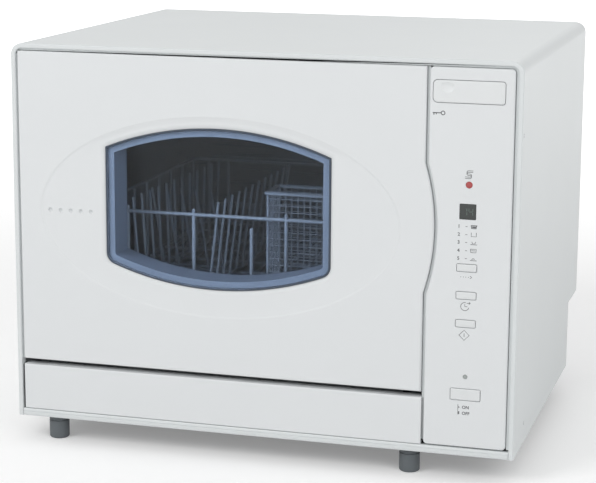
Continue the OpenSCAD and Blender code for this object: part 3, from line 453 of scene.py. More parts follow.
class Paint(Enum):
    """Every finish on the machine."""

    ENAMEL = Finish(
        "white_enamel", (0.70, 0.73, 0.735), 0.42, 0.06, grain=420, grain_depth=0.00004, mottle=0.012
    )
    DOOR = Finish(
        "white_door", (0.735, 0.755, 0.765), 0.46, 0.06, grain=1400, grain_depth=0.00002, mottle=0.012
    )
    KEY = Finish("white_key", (0.74, 0.76, 0.765), 0.40, 0.06, grain=1800, grain_depth=0.00001, mottle=0.01)
    ZINC = ZincFinish(
        "zinc_plate", (0.50, 0.53, 0.56), 0.42, metallic=0.9, mottle_size=110, grain_depth=0.00002
    )
    STEEL = BrushedFinish(
        "brushed_stainless", (0.56, 0.57, 0.58), 0.30, 0.16, metallic=1.0, grain_depth=0.00001
    )
    SCREW = Finish("screw_steel", (0.42, 0.43, 0.45), 0.32, metallic=1.0, grain=2400, grain_depth=0.00001)
    GASKET = moulded("dark_gasket", (0.045, 0.062, 0.090), 0.55, 1500, 0.00004, 0.06)
    SEAL = moulded("black_seal_rubber", (0.022, 0.023, 0.025), 0.62, 1200, 0.00006, 0.08)
    FOOT = moulded("dark_foot_plastic", (0.110, 0.125, 0.135), 0.5, 1100, 0.00006, 0.08)
    TRAY = moulded("dark_tray_plastic", (0.085, 0.09, 0.095), 0.55, 800, 0.00008, 0.08)
    PUMP = moulded("black_pump_plastic", (0.03, 0.032, 0.034), 0.5, 1000, 0.00006, 0.06)
    GREY = moulded("grey_plastic", (0.30, 0.33, 0.37), 0.42, 1200, 0.00003, 0.03)
    LATCH = moulded("pale_latch_plastic", (0.58, 0.58, 0.55), 0.45, 1200, 0.00003, 0.03)
    CLEAR = Finish(
        "milky_plastic", (0.62, 0.65, 0.66), 0.30, coat=0.3, grain=700, grain_depth=0.00003, mottle=0.04
    )
    SALT = moulded("dark_cap_plastic", (0.07, 0.08, 0.09), 0.42, 1300, 0.00004, 0.05)
    RINSE = moulded("blue_cap_plastic", (0.035, 0.10, 0.27), 0.35, 1300, 0.00003, 0.04)
    BOARD = moulded("green_circuit_board", (0.015, 0.085, 0.035), 0.38, 900, 0.00004, 0.15)
    DISPLAY = lens("smoked_display", (0.010, 0.016, 0.014), 0.12, 0.5)
    DIGIT = lens("display_digit", (0.10, 0.14, 0.12), 0.3, 0.0)
    RED = lens("red_lens", (0.35, 0.045, 0.045), 0.25, 0.4, 0.1)
    LAMP = lens("grey_lens", (0.33, 0.36, 0.35), 0.25, 0.4)
    OUTER_GLASS = GlassFinish("window_glass", (0.86, 0.92, 0.98), 0.02, 0.02, grain=8)
    INNER_GLASS = GlassFinish(
        "dark_window_glass", (0.50, 0.545, 0.61), 0.03, 0.02, grain=8, lamp_tint=(0.95, 0.97, 1.0), index=1.17
    )
    BAND = moulded("blue_grey_frame_plastic", (0.150, 0.190, 0.265), 0.42, 1300, 0.00002, 0.02)
    COATED = Finish(
        "blue_grey_wire_coating", (0.66, 0.69, 0.73), 0.38, 0.1,
        coat=0.2, grain=700, grain_depth=0.00006, mottle=0.06,
    )
    INK = moulded("grey_print", (0.10, 0.105, 0.11), 0.5, 1500, 0.0, 0.04)


class Palette:
    """Holds one material for each finish."""

    def __init__(self) -> None:
        """Builds the shared groups and then every material."""
        effects = Effects()
        self.made = {paint: paint.value.make(effects) for paint in Paint}

    def coat(self, thing: bpy.types.Object, paint: Paint) -> bpy.types.Object:
        """Puts a finish on an object in place of what it had."""
        thing.data.materials.clear()
        thing.data.materials.append(self.made[paint])
        return thing


CAD_FINISH: dict[Paint, str] = {
    Paint.ENAMEL: "cabinet_wrap front_frame",
    Paint.DOOR: "door_skin control_fascia kick_panel bottom_trim",
    Paint.KEY: "open_button programme_button delay_button start_button power_button",
    Paint.ZINC: "back_panel hinge_brackets hinge_arms latch_hook",
    Paint.STEEL: "tub wheel_rails door_inner_panel filter_plate hinge_pins door_striker heater",
    Paint.SEAL: "tub_seal cord_gland",
    Paint.GASKET: "window_gasket",
    Paint.FOOT: "foot_front_left foot_front_right foot_rear_left foot_rear_right",
    Paint.TRAY: "base_tray",
    Paint.PUMP: "circulation_pump drain_pump sump",
    Paint.GREY: (
        "spray_hub spray_arm filter_cup dispenser dispenser_lid rack_wheel_front_left "
        "rack_wheel_front_right rack_wheel_rear_left rack_wheel_rear_right"
    ),
    Paint.LATCH: "latch_housing",
    Paint.CLEAR: "softener air_break inlet_valve",
    Paint.SALT: "salt_cap",
    Paint.RINSE: "rinse_cap",
    Paint.BOARD: "control_board",
    Paint.DISPLAY: "display_window",
    Paint.RED: "salt_light",
    Paint.LAMP: "power_light",
    Paint.OUTER_GLASS: "window_outer_pane",
    Paint.INNER_GLASS: "window_inner_pane",
    Paint.BAND: "window_frame",
    Paint.COATED: "rack_floor rack_sides rack_ends plate_supports cutlery_basket",
}


# Studio


@dataclass(frozen=True)
class Lamp:
    """A soft area lamp: where it hangs, what it points at, its edge and its power."""

    name: str
    place: Point
    aim: Point
    edge: float
    power: float


@dataclass
class Studio:
    """Plain pale floor, soft lamps and the camera at the photograph's angle."""

    camera_place: Point = (0.572756, -2.078624, 0.646097)
    azimuth: float = -15.93092
    elevation: float = 11.82282
    roll: float = 0.37051
    focal_pixels: float = 1898.082
    image_width: float = 596.0
    sensor: float = 36.0
    floor_colour: Colour = (0.86, 0.86, 0.86)
    floor_lift: float = 0.22
    floor_fade: tuple[float, float] = (0.5, 4.0)
    sky_light: float = 0.58
    lamps: tuple[Lamp, ...] = (
        Lamp("key_lamp", (-1.7, -2.6, 2.3), (0.0, 0.0, 0.2), 1.6, 42.0),
        Lamp("fill_lamp", (2.4, -1.9, 1.4), (0.0, 0.0, 0.2), 1.8, 17.0),
        Lamp("back_lamp", (0.4, 2.2, 2.2), (0.0, 0.0, 0.3), 1.8, 7.0),
    )

    def build(self) -> None:
        """Makes floor, lamps, world and camera."""
        self._view_settings()
        self._floor()
        self._world()
        for lamp in self.lamps:
            self._lamp(lamp)
        self._camera()
        LOG.info("studio: floor, %d lamps, camera", len(self.lamps))

    @staticmethod
    def _view_settings() -> None:
        """Colours are shown as they are written."""
        bpy.context.scene.view_settings.view_transform = "Standard"

    def _floor(self) -> None:
        """A wide pale disc under the feet that turns white to the eye far away, like the sky behind it."""
        Bench.clear()
        bpy.ops.mesh.primitive_circle_add(vertices=96, radius=30.0, fill_type="NGON", location=(0, 0, 0))
        disc = bpy.context.object
        disc.name = "studio_floor"
        material = bpy.data.materials.new("pale_floor")
        material.use_nodes = True
        tree = Tree(material.node_tree)
        shader = material.node_tree.nodes["Principled BSDF"]
        shader.inputs["Base Color"].default_value = opaque(self.floor_colour)
        shader.inputs["Roughness"].default_value = 0.8
        glow = tree.add("ShaderNodeEmission", Color=(1, 1, 1, 1))
        path = tree.add("ShaderNodeLightPath")
        seen = self._seen(tree, path)
        where = tree.add("ShaderNodeTexCoord")
        away = tree.add("ShaderNodeVectorMath", operation="LENGTH")
        tree.join(where.outputs["Object"], away.inputs[0])
        fade = tree.add("ShaderNodeMapRange", interpolation_type="SMOOTHSTEP")
        tree.join(away.outputs["Value"], fade.inputs["Value"])
        near, far = self.floor_fade
        span = {"From Min": near, "From Max": far, "To Min": self.floor_lift, "To Max": 1.0}
        for label, value in span.items():
            fade.inputs[label].default_value = value
        tree.join(tree.maths("MULTIPLY", seen, fade.outputs["Result"]), glow.inputs["Strength"])
        both = tree.add("ShaderNodeAddShader")
        tree.join(shader.outputs[0], both.inputs[0])
        tree.join(glow.outputs[0], both.inputs[1])
        tree.join(both.outputs[0], material.node_tree.nodes["Material Output"].inputs["Surface"])
        disc.data.materials.append(material)

    @staticmethod
    def _seen(tree: Tree, path: bpy.types.Node) -> bpy.types.NodeSocket:
        """1 for rays from the camera, and for those off gloss and through glass."""
        first = tree.maths("MAXIMUM", path.outputs["Is Camera Ray"], path.outputs["Is Glossy Ray"])
        return tree.maths("MAXIMUM", first, path.outputs["Is Transmission Ray"])

    def _world(self) -> None:
        """White to the eye, and a soft grey light on the object."""
        world = bpy.data.worlds.new("studio_world")
        bpy.context.scene.world = world
        world.use_nodes = True
        tree = Tree(world.node_tree)
        back = world.node_tree.nodes["Background"]
        back.inputs["Color"].default_value = (1, 1, 1, 1)
        path = tree.add("ShaderNodeLightPath")
        seen = self._seen(tree, path)
        lift = tree.maths("MULTIPLY", seen, 1.0 - self.sky_light)
        tree.join(tree.maths("ADD", lift, self.sky_light), back.inputs["Strength"])

    @staticmethod
    def _lamp(lamp: Lamp) -> None:
        """Hangs one area lamp."""
        data = bpy.data.lights.new(lamp.name, "AREA")
        data.shape = "SQUARE"
        data.size = lamp.edge
        data.energy = lamp.power
        thing = bpy.data.objects.new(lamp.name, data)
        bpy.context.scene.collection.objects.link(thing)
        thing.location = lamp.place
        thing.rotation_euler = (Vector(lamp.aim) - Vector(lamp.place)).to_track_quat("-Z", "Y").to_euler()

    def _camera(self) -> None:
        """Places the camera from the fitted angles."""
        turn, tilt, roll = (math.radians(a) for a in (self.azimuth, self.elevation, self.roll))
        forward = Vector((math.sin(turn) * math.cos(tilt), math.cos(turn) * math.cos(tilt), -math.sin(tilt)))
        right = forward.cross(Vector((0, 0, 1))).normalized()
        up = right.cross(forward)
        right, up = (
            right * math.cos(roll) + up * math.sin(roll),
            up * math.cos(roll) - right * math.sin(roll),
        )
        data = bpy.data.cameras.new("camera")
        data.sensor_width = self.sensor
        data.lens = self.focal_pixels * self.sensor / self.image_width
        data.clip_start = 0.05
        data.clip_end = 100.0
        thing = bpy.data.objects.new("camera", data)
        bpy.context.scene.collection.objects.link(thing)
        turned = Matrix((right, up, -forward)).transposed().to_4x4()
        thing.matrix_world = Matrix.Translation(self.camera_place) @ turned
        bpy.context.scene.camera = thing


# Workbench


class Bench:
    """Tools that shape meshes as by hand, in metres of the row frame."""

    @staticmethod
    def clear() -> None:
        """Leaves object mode active and nothing selected."""
        if bpy.context.object and bpy.context.object.mode != "OBJECT":
            bpy.ops.object.mode_set(mode="OBJECT")
        bpy.ops.object.select_all(action="DESELECT")

    @classmethod
    def take(cls, thing: bpy.types.Object) -> None:
        """Makes one object the only selected and active one."""
        cls.clear()
        thing.select_set(True)
        bpy.context.view_layer.objects.active = thing

    @classmethod
    def settle(cls, thing: bpy.types.Object) -> bpy.types.Object:
        """Moves place, turn and scale into the mesh, so the object sits at the origin."""
        cls.take(thing)
        bpy.ops.object.transform_apply(location=True, rotation=True, scale=True)
        return thing

    @classmethod
    def apply(cls, thing: bpy.types.Object, kind: str, **values: object) -> bpy.types.Object:
        """Adds a modifier and applies it.

        Args:
            thing: the object.
            kind: the modifier's type.
            values: the modifier's settings.

        Returns:
            The object.
        """
        cls.take(thing)
        modifier = thing.modifiers.new(kind.lower(), kind)
        for key, value in values.items():
            setattr(modifier, key, value)
        bpy.ops.object.modifier_apply(modifier=modifier.name)
        return thing

    @classmethod
    def soften(
        cls, thing: bpy.types.Object, width: float, segments: int = 3, angle: float = 30
    ) -> bpy.types.Object:
        """Rounds the edges sharper than an angle and shades the result.

        Args:
            thing: the object.
            width: the bevel's width in millimetres, or 0 for none.
            segments: strips in each bevel.
            angle: the least angle of an edge that is rounded, in degrees.

        Returns:
            The object.
        """
        if width:
            cls.apply(
                thing, "BEVEL", width=width * MM, segments=segments, limit_method="ANGLE",
                angle_limit=math.radians(angle), use_clamp_overlap=True, harden_normals=False,
            )
        return cls.shade(thing)

    @classmethod
    def shade(cls, thing: bpy.types.Object, angle: float = 40) -> bpy.types.Object:
        """Smooth shading up to an angle, with flat faces kept flat."""
        cls.take(thing)
        bpy.ops.object.shade_smooth_by_angle(angle=math.radians(angle))
        return cls.apply(thing, "WEIGHTED_NORMAL", keep_sharp=True, weight=80)

    @classmethod
    def copy(cls, source: bpy.types.Object, name: str) -> bpy.types.Object:
        """A clean copy of a CAD node's mesh, with its points merged.

        Args:
            source: the node's object.
            name: the new object's name.

        Returns:
            The new object.
        """
        thing = bpy.data.objects.new(name, source.data.copy())
        bpy.context.scene.collection.objects.link(thing)
        thing.matrix_world = source.matrix_world
        cls.take(thing)
        bpy.ops.object.mode_set(mode="EDIT")
        bpy.ops.mesh.select_all(action="SELECT")
        bpy.ops.mesh.remove_doubles(threshold=0.00001)
        bpy.ops.mesh.normals_make_consistent(inside=False)
        bpy.ops.object.mode_set(mode="OBJECT")
        return thing

    @classmethod
    def box(cls, name: str, low: Vector, high: Vector) -> bpy.types.Object:
        """A block between two corners, ready to be shaped."""
        cls.clear()
        bpy.ops.mesh.primitive_cube_add(size=1, location=(low + high) / 2)
        thing = bpy.context.object
        thing.name = name
        thing.scale = high - low
        return cls.settle(thing)

    @classmethod
    def disc(cls, name: str, centre: Vector, along: Vector, radius: float, sides: int) -> bpy.types.Object:
        """A round face that looks along a direction, left in edit mode with all of it selected."""
        cls.clear()
        turn = along.to_track_quat("Z", "Y").to_euler()
        bpy.ops.mesh.primitive_circle_add(
            vertices=sides, radius=radius, fill_type="NGON", location=centre, rotation=turn
        )
        thing = bpy.context.object
        thing.name = name
        cls.settle(thing)
        bpy.ops.object.mode_set(mode="EDIT")
        bpy.ops.mesh.select_all(action="SELECT")
        return thing

    @classmethod
    def sweep(
        cls, name: str, path: Sequence[Vector], diameter: float, sides: int = 12, tip: bool = False
    ) -> bpy.types.Object:
        """A round wire along a path of points.

        Args:
            name: the new object's name.
            path: points in metres; arcs are given as short steps.
            diameter: the wire's diameter in millimetres.
            sides: sides of its section.
            tip: True for a rounded end at the last point.

        Returns:
            The wire.
        """
        radius = diameter * MM / 2
        steps = [b - a for a, b in zip(path, path[1:]) if (b - a).length > 1e-7]
        thing = cls.disc(name, path[0], steps[0], radius, sides)
        facing = steps[0].normalized()
        place = path[0]
        for index, step in enumerate(steps):
            bpy.ops.mesh.extrude_region_move(TRANSFORM_OT_translate={"value": step})
            place = place + step
            after = (steps[min(index + 1, len(steps) - 1)].normalized() + step.normalized()).normalized()
            cls._turn_ring(thing, place, facing.rotation_difference(after))
            facing = after
        if tip:
            for reach, size in ((0.45, 0.85), (0.35, 0.6), (0.15, 0.5)):
                bpy.ops.mesh.extrude_region_move(TRANSFORM_OT_translate={"value": facing * radius * reach})
                bpy.ops.transform.resize(value=(size, size, size), center_override=cls._middle(thing))
        bpy.ops.object.mode_set(mode="OBJECT")
        cls.take(thing)
        bpy.ops.object.shade_smooth_by_angle(angle=math.radians(50))
        return thing

    @staticmethod
    def _middle(thing: bpy.types.Object) -> Vector:
        """Middle of the selected points in edit mode."""
        ring = [v.co for v in bmesh.from_edit_mesh(thing.data).verts if v.select]
        return sum(ring, Vector()) / len(ring)

    @staticmethod
    def _turn_ring(thing: bpy.types.Object, centre: Vector, turn: Quaternion) -> None:
        """Turns the selected points about a centre."""
        mesh = bmesh.from_edit_mesh(thing.data)
        for point in mesh.verts:
            if point.select:
                point.co = centre + turn @ (point.co - centre)
        bmesh.update_edit_mesh(thing.data)

    @classmethod
    def loft(cls, name: str, rings: Sequence[Sequence[Vector]], ends: str = "open") -> bpy.types.Object:
        """A surface through closed rings with the same number of points each.

        Args:
            name: the new object's name.
            rings: the rings in order, in metres.
            ends: "open", "flat" for a face on the first and last ring, or "round" to join these two.

        Returns:
            The surface.
        """
        if ends == "round":
            rings = [*rings, rings[0]]
        cls.clear()
        bpy.ops.mesh.primitive_circle_add(vertices=len(rings[0]), radius=1, location=(0, 0, 0))
        thing = bpy.context.object
        thing.name = name
        bpy.ops.object.mode_set(mode="EDIT")
        mesh = bmesh.from_edit_mesh(thing.data)
        mesh.verts.ensure_lookup_table()
        order = {point: index for index, point in enumerate(mesh.verts)}
        for point, index in order.items():
            point.co = rings[0][index]
        for ring in rings[1:]:
            edges = [e for e in mesh.edges if e.select]
            made = bmesh.ops.extrude_edge_only(mesh, edges=edges)["geom"]
            fresh = [g for g in made if isinstance(g, bmesh.types.BMVert)]
            following = {}
            for point in fresh:
                old = next(e.other_vert(point) for e in point.link_edges if e.other_vert(point) in order)
                following[point] = order[old]
            for edge in mesh.edges:
                edge.select = edge.verts[0] in following and edge.verts[1] in following
            for point, index in following.items():
                point.co = ring[index]
            order = following
        if ends == "flat":
            bmesh.ops.holes_fill(mesh, edges=[e for e in mesh.edges if e.is_boundary], sides=0)
        bmesh.update_edit_mesh(thing.data)
        bpy.ops.mesh.select_all(action="SELECT")
        bpy.ops.mesh.remove_doubles(threshold=0.000001)
        bpy.ops.mesh.normals_make_consistent(inside=False)
        bpy.ops.object.mode_set(mode="OBJECT")
        return thing

    @classmethod
    def turned(
        cls, name: str, centre: Vector, along: Vector, profile: Sequence[Flat],
        sides: int = 48, bored: bool = False,
    ) -> bpy.types.Object:
        """A turned piece, extruded and scaled step by step from a round face.

        Args:
            name: the new object's name.
            centre: the point on the axis that heights are counted from.
            along: direction of the axis.
            profile: heights and radii in millimetres.
            sides: sides of its section.
            bored: True where the profile ends on its first point, which leaves a hole along the axis.

        Returns:
            The closed piece.
        """
        axis = along.normalized()
        height, radius = profile[0]
        thing = cls.disc(name, centre + axis * height * MM, axis, radius * MM, sides)
        for after, size in profile[1:]:
            bpy.ops.mesh.extrude_region_move(TRANSFORM_OT_translate={"value": axis * (after - height) * MM})
            if abs(size - radius) > 1e-6:
                ratio = size / radius
                middle = centre + axis * after * MM
                bpy.ops.transform.resize(value=(ratio, ratio, ratio), center_override=middle)
            height, radius = after, size
        if bored:
            mesh = bmesh.from_edit_mesh(thing.data)
            lids = [f for f in mesh.faces if len(f.verts) == sides]
            bmesh.ops.delete(mesh, geom=lids, context="FACES_ONLY")
            bmesh.update_edit_mesh(thing.data)
        bpy.ops.mesh.select_all(action="SELECT")
        bpy.ops.mesh.remove_doubles(threshold=0.000001)
        bpy.ops.mesh.normals_make_consistent(inside=False)
        bpy.ops.object.mode_set(mode="OBJECT")
        return cls.shade(thing, 35)

    @classmethod
    def bevel_where(
        cls, thing: bpy.types.Object, chosen: Callable[[Vector, Vector], bool],
        width: float, segments: int = 4,
    ) -> bpy.types.Object:
        """Bevels in edit mode the sharp edges whose ends, in layout millimetres, pass a test.

        Args:
            thing: the object.
            chosen: a test on the edge's two ends.
            width: the bevel's width in millimetres.
            segments: strips in the bevel.

        Returns:
            The object.
        """
        cls.take(thing)
        bpy.ops.object.mode_set(mode="EDIT")
        bpy.ops.mesh.select_mode(type="EDGE")
        bpy.ops.mesh.select_all(action="DESELECT")
        mesh = bmesh.from_edit_mesh(thing.data)
        for edge in mesh.edges:
            sharp = len(edge.link_faces) == 2 and edge.calc_face_angle(0) > math.radians(40)
            edge.select = sharp and chosen(*(layout_point(v.co) for v in edge.verts))
        bmesh.update_edit_mesh(thing.data)
        bpy.ops.mesh.bevel(offset=width * MM, segments=segments, affect="EDGES", clamp_overlap=True)
        bpy.ops.object.mode_set(mode="OBJECT")
        return thing

    @classmethod
    def fill_at(cls, thing: bpy.types.Object, depth: float) -> bpy.types.Object:
        """Closes the flat part of a front, with its holes, between the open edges at one depth."""
        cls.take(thing)
        bpy.ops.object.mode_set(mode="EDIT")
        bpy.ops.mesh.select_mode(type="EDGE")
        bpy.ops.mesh.select_all(action="DESELECT")
        mesh = bmesh.from_edit_mesh(thing.data)
        for edge in mesh.edges:
            flat = all(abs(layout_point(v.co).y - depth) < 0.001 for v in edge.verts)
            edge.select = edge.is_boundary and flat
        bmesh.update_edit_mesh(thing.data)
        bpy.ops.mesh.fill()
        bpy.ops.mesh.select_all(action="SELECT")
        bpy.ops.mesh.normals_make_consistent(inside=False)
        bpy.ops.object.mode_set(mode="OBJECT")
        return thing

    @classmethod
    def behind(cls, thing: bpy.types.Object, depth: float) -> bpy.types.Object:
        """Keeps what lies behind a depth in millimetres."""
        cls.take(thing)
        bpy.ops.object.mode_set(mode="EDIT")
        bpy.ops.mesh.select_all(action="SELECT")
        bpy.ops.mesh.bisect(plane_co=spot(0, depth, 0), plane_no=(0, 1, 0), clear_inner=True)
        bpy.ops.object.mode_set(mode="OBJECT")
        return thing

    @classmethod
    def again(cls, source: bpy.types.Object, name: str, shift: Point) -> bpy.types.Object:
        """A copy of a finished piece with its own mesh, moved by a shift in millimetres."""
        thing = bpy.data.objects.new(name, source.data.copy())
        bpy.context.scene.collection.objects.link(thing)
        thing.location = Vector(shift) * MM
        return cls.settle(thing)

    @classmethod
    def join(cls, things: Sequence[bpy.types.Object], name: str) -> bpy.types.Object:
        """Joins objects into one."""
        cls.clear()
        for thing in things:
            thing.select_set(True)
        bpy.context.view_layer.objects.active = things[0]
        bpy.ops.object.join()
        whole = bpy.context.object
        whole.name = name
        return whole

    @classmethod
    def cut(cls, thing: bpy.types.Object, tools: Sequence[bpy.types.Object]) -> bpy.types.Object:
        """Takes the shapes of the tools out of an object and deletes the tools."""
        for tool in tools:
            cls.apply(thing, "BOOLEAN", operation="DIFFERENCE", object=tool, solver="EXACT")
            bpy.data.objects.remove(tool)
        return thing


@dataclass
class Shop:
    """What every sub-assembly needs: the frame and the palette."""

    frame: dict
    palette: Palette

    def place(
        self, thing: bpy.types.Object, body: str, paint: Paint, stands_for: Iterable[str] = ()
    ) -> bpy.types.Object:
        """Finishes a piece: material, body and the nodes that it stands for.

        Args:
            thing: the finished mesh.
            body: the CAD body that carries it.
            paint: its finish.
            stands_for: CAD nodes that it replaces.

        Returns:
            The piece.
        """
        self.palette.coat(thing, paint)
        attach(thing, body)
        names = list(stands_for)
        if names:
            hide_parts(*names)
        LOG.info("%s on %s", thing.name, body)
        return thing

    def body_of(self, node: str) -> str:
        """The name of the body that carries a node."""
        return body_of(self.frame["nodes"][node])[0]

    def dress(self, node: str, paint: Paint, width: float) -> bpy.types.Object:
        """Replaces a node by a copy of itself with rounded edges.

        Args:
            node: the CAD node's name.
            paint: its finish.
            width: the bevel's width in millimetres, or 0 for none.

        Returns:
            The dressed piece.
        """
        thing = Bench.copy(self.frame["nodes"][node], node + "_dressed")
        Bench.soften(thing, width, 2)
        return self.place(thing, self.body_of(node), paint, [node])


# Outlines, as points (X, Z) in millimetres


def arc_points(cx: float, cz: float, radius: float, start: float, end: float, steps: int) -> list[Flat]:
    """Points along an arc, both ends included, with angles in radians."""
    turns = [start + (end - start) * i / steps for i in range(steps + 1)]
    return [(cx + radius * math.cos(a), cz + radius * math.sin(a)) for a in turns]


def line_points(start: Flat, end: Flat, steps: int) -> list[Flat]:
    """Evenly spread points strictly between two points."""
    shares = [i / steps for i in range(1, steps)]
    return [(start[0] + (end[0] - start[0]) * s, start[1] + (end[1] - start[1]) * s) for s in shares]


def at_depth(points: Iterable[Flat], y: float) -> list[Vector]:
    """Front-view points at one depth, in metres."""
    return [spot(x, y, z) for x, z in points]


def between(first: Sequence[Flat], second: Sequence[Flat], share: float) -> list[Flat]:
    """Points part of the way from one ring to another."""
    return [(a + (c - a) * share, b + (d - b) * share) for (a, b), (c, d) in zip(first, second)]


def pad_ring(
    centre: Flat, width: float, height: float, left: float, right: float, inset: float, steps: int = 5
) -> list[Flat]:
    """A rectangle with round corners, counter-clockwise from its lower right corner.

    Args:
        centre: its middle.
        width: its width.
        height: its height.
        left: radius of the two left corners.
        right: radius of the two right corners.
        inset: distance that the outline is drawn in by.
        steps: strips in each corner.

    Returns:
        The ring's points.
    """
    half_x, half_z = width / 2 - inset, height / 2 - inset
    points: list[Flat] = []
    corners = ((1, -1, right), (1, 1, right), (-1, 1, left), (-1, -1, left))
    for index, (side, level, radius) in enumerate(corners):
        r = max(radius - inset, 0.05)
        start = -math.pi / 2 + index * math.pi / 2
        cx, cz = centre[0] + side * (half_x - r), centre[1] + level * (half_z - r)
        points += arc_points(cx, cz, r, start, start + math.pi / 2, steps)
    return points


def bent(points: Sequence[Vector], radius: float, steps: int = 5) -> list[Vector]:
    """A path whose inner corners are replaced by arcs.

    Args:
        points: the corners in metres, ends included.
        radius: the bends' radius in millimetres.
        steps: steps in each bend.

    Returns:
        The path's points.
    """
    path = [points[0]]
    for before, corner, after in zip(points, points[1:], points[2:]):
        inward, outward = (before - corner).normalized(), (after - corner).normalized()
        half = inward.angle(outward) / 2
        reach = radius * MM / math.tan(half)
        middle = corner + (inward + outward).normalized() * radius * MM / math.sin(half)
        first, last = corner + inward * reach, corner + outward * reach
        for i in range(steps + 1):
            arm = (first - middle).normalized().slerp((last - middle).normalized(), i / steps)
            path.append(middle + arm * radius * MM)
    path.append(points[-1])
    return path


@dataclass(frozen=True)
class WindowShape:
    """The window's outline: curved top and bottom, straight sides, round lower corners."""

    middle: float = SIZE.door_middle
    centre_z: float = 269.7
    width: float = 248.2
    height: float = 172.4
    arc: float = 325.0
    corner: float = 13.0
    side_steps: int = 18

    def ring(self, inset: float) -> list[Flat]:
        """The outline drawn in by an inset.

        Args:
            inset: distance inwards in millimetres; a negative one goes outwards.

        Returns:
            Points counted from the right end of the top arc.
        """
        half = self.width / 2 - inset
        radius = self.arc - inset
        low = self.centre_z - self.height / 2 + self.arc
        high = self.centre_z + self.height / 2 - self.arc
        corner = max(self.corner - inset, 1.5)
        cx = half - corner
        cz = low - math.sqrt((radius - corner) ** 2 - cx**2)
        tip = math.atan2(low - cz, cx)
        side = math.acos(half / radius)
        top = arc_points(self.middle, high, radius, side, math.pi - side, 36)
        left = arc_points(self.middle - cx, cz, corner, math.pi, math.pi + tip, 8)
        bottom = arc_points(self.middle, low, radius, math.pi + tip, 2 * math.pi - tip, 36)[1:-1]
        right = arc_points(self.middle + cx, cz, corner, 2 * math.pi - tip, 2 * math.pi, 8)
        down = line_points(top[-1], left[0], self.side_steps)
        up = line_points(right[-1], top[0], self.side_steps)
        return [*top, *down, *left, *bottom, *right, *up]

    def band(self, name: str, profile: Sequence[Flat]) -> bpy.types.Object:
        """A closed moulding that runs round the window.

        Args:
            name: the new object's name.
            profile: insets and depths of its section, in order round it.

        Returns:
            The moulding.
        """
        return Bench.loft(name, [at_depth(self.ring(inset), depth) for inset, depth in profile], "round")


@dataclass(frozen=True)
class DoorShape:
    """The door's front outline with the swelling of its right edge, and the ellipse pressed into it."""

    rise: float = 10.3
    radius: float = 226.0
    bulge_z: float = 264.0
    ellipse_z: float = 261.0
    half_wide: float = 197.5
    half_high: float = 106.5

    def ring(self, inset: float) -> list[Flat]:
        """The door's outline drawn in by an inset."""
        left, right = SIZE.door_left + inset, SIZE.door_right - inset
        low, high = SIZE.door_low + inset, SIZE.door_high - inset
        cx = SIZE.door_right + self.rise - self.radius
        reach = math.acos((right - cx) / (self.radius - inset))
        bulge = arc_points(cx, self.bulge_z, self.radius - inset, -reach, reach, 32)
        return [(left, low), (right, low), *bulge, (right, high), (left, high)]

    def ellipse_toward(self, points: Sequence[Flat], grow: float) -> list[Flat]:
        """The points of the grown ellipse that lie outwards of other points, seen from its middle."""
        found = []
        for x, z in points:
            dx, dz = x - SIZE.door_middle, z - self.ellipse_z
            scale = 1 / math.hypot(dx / (self.half_wide + grow), dz / (self.half_high + grow))
            found.append((SIZE.door_middle + dx * scale, self.ellipse_z + dz * scale))
        return found


# Door


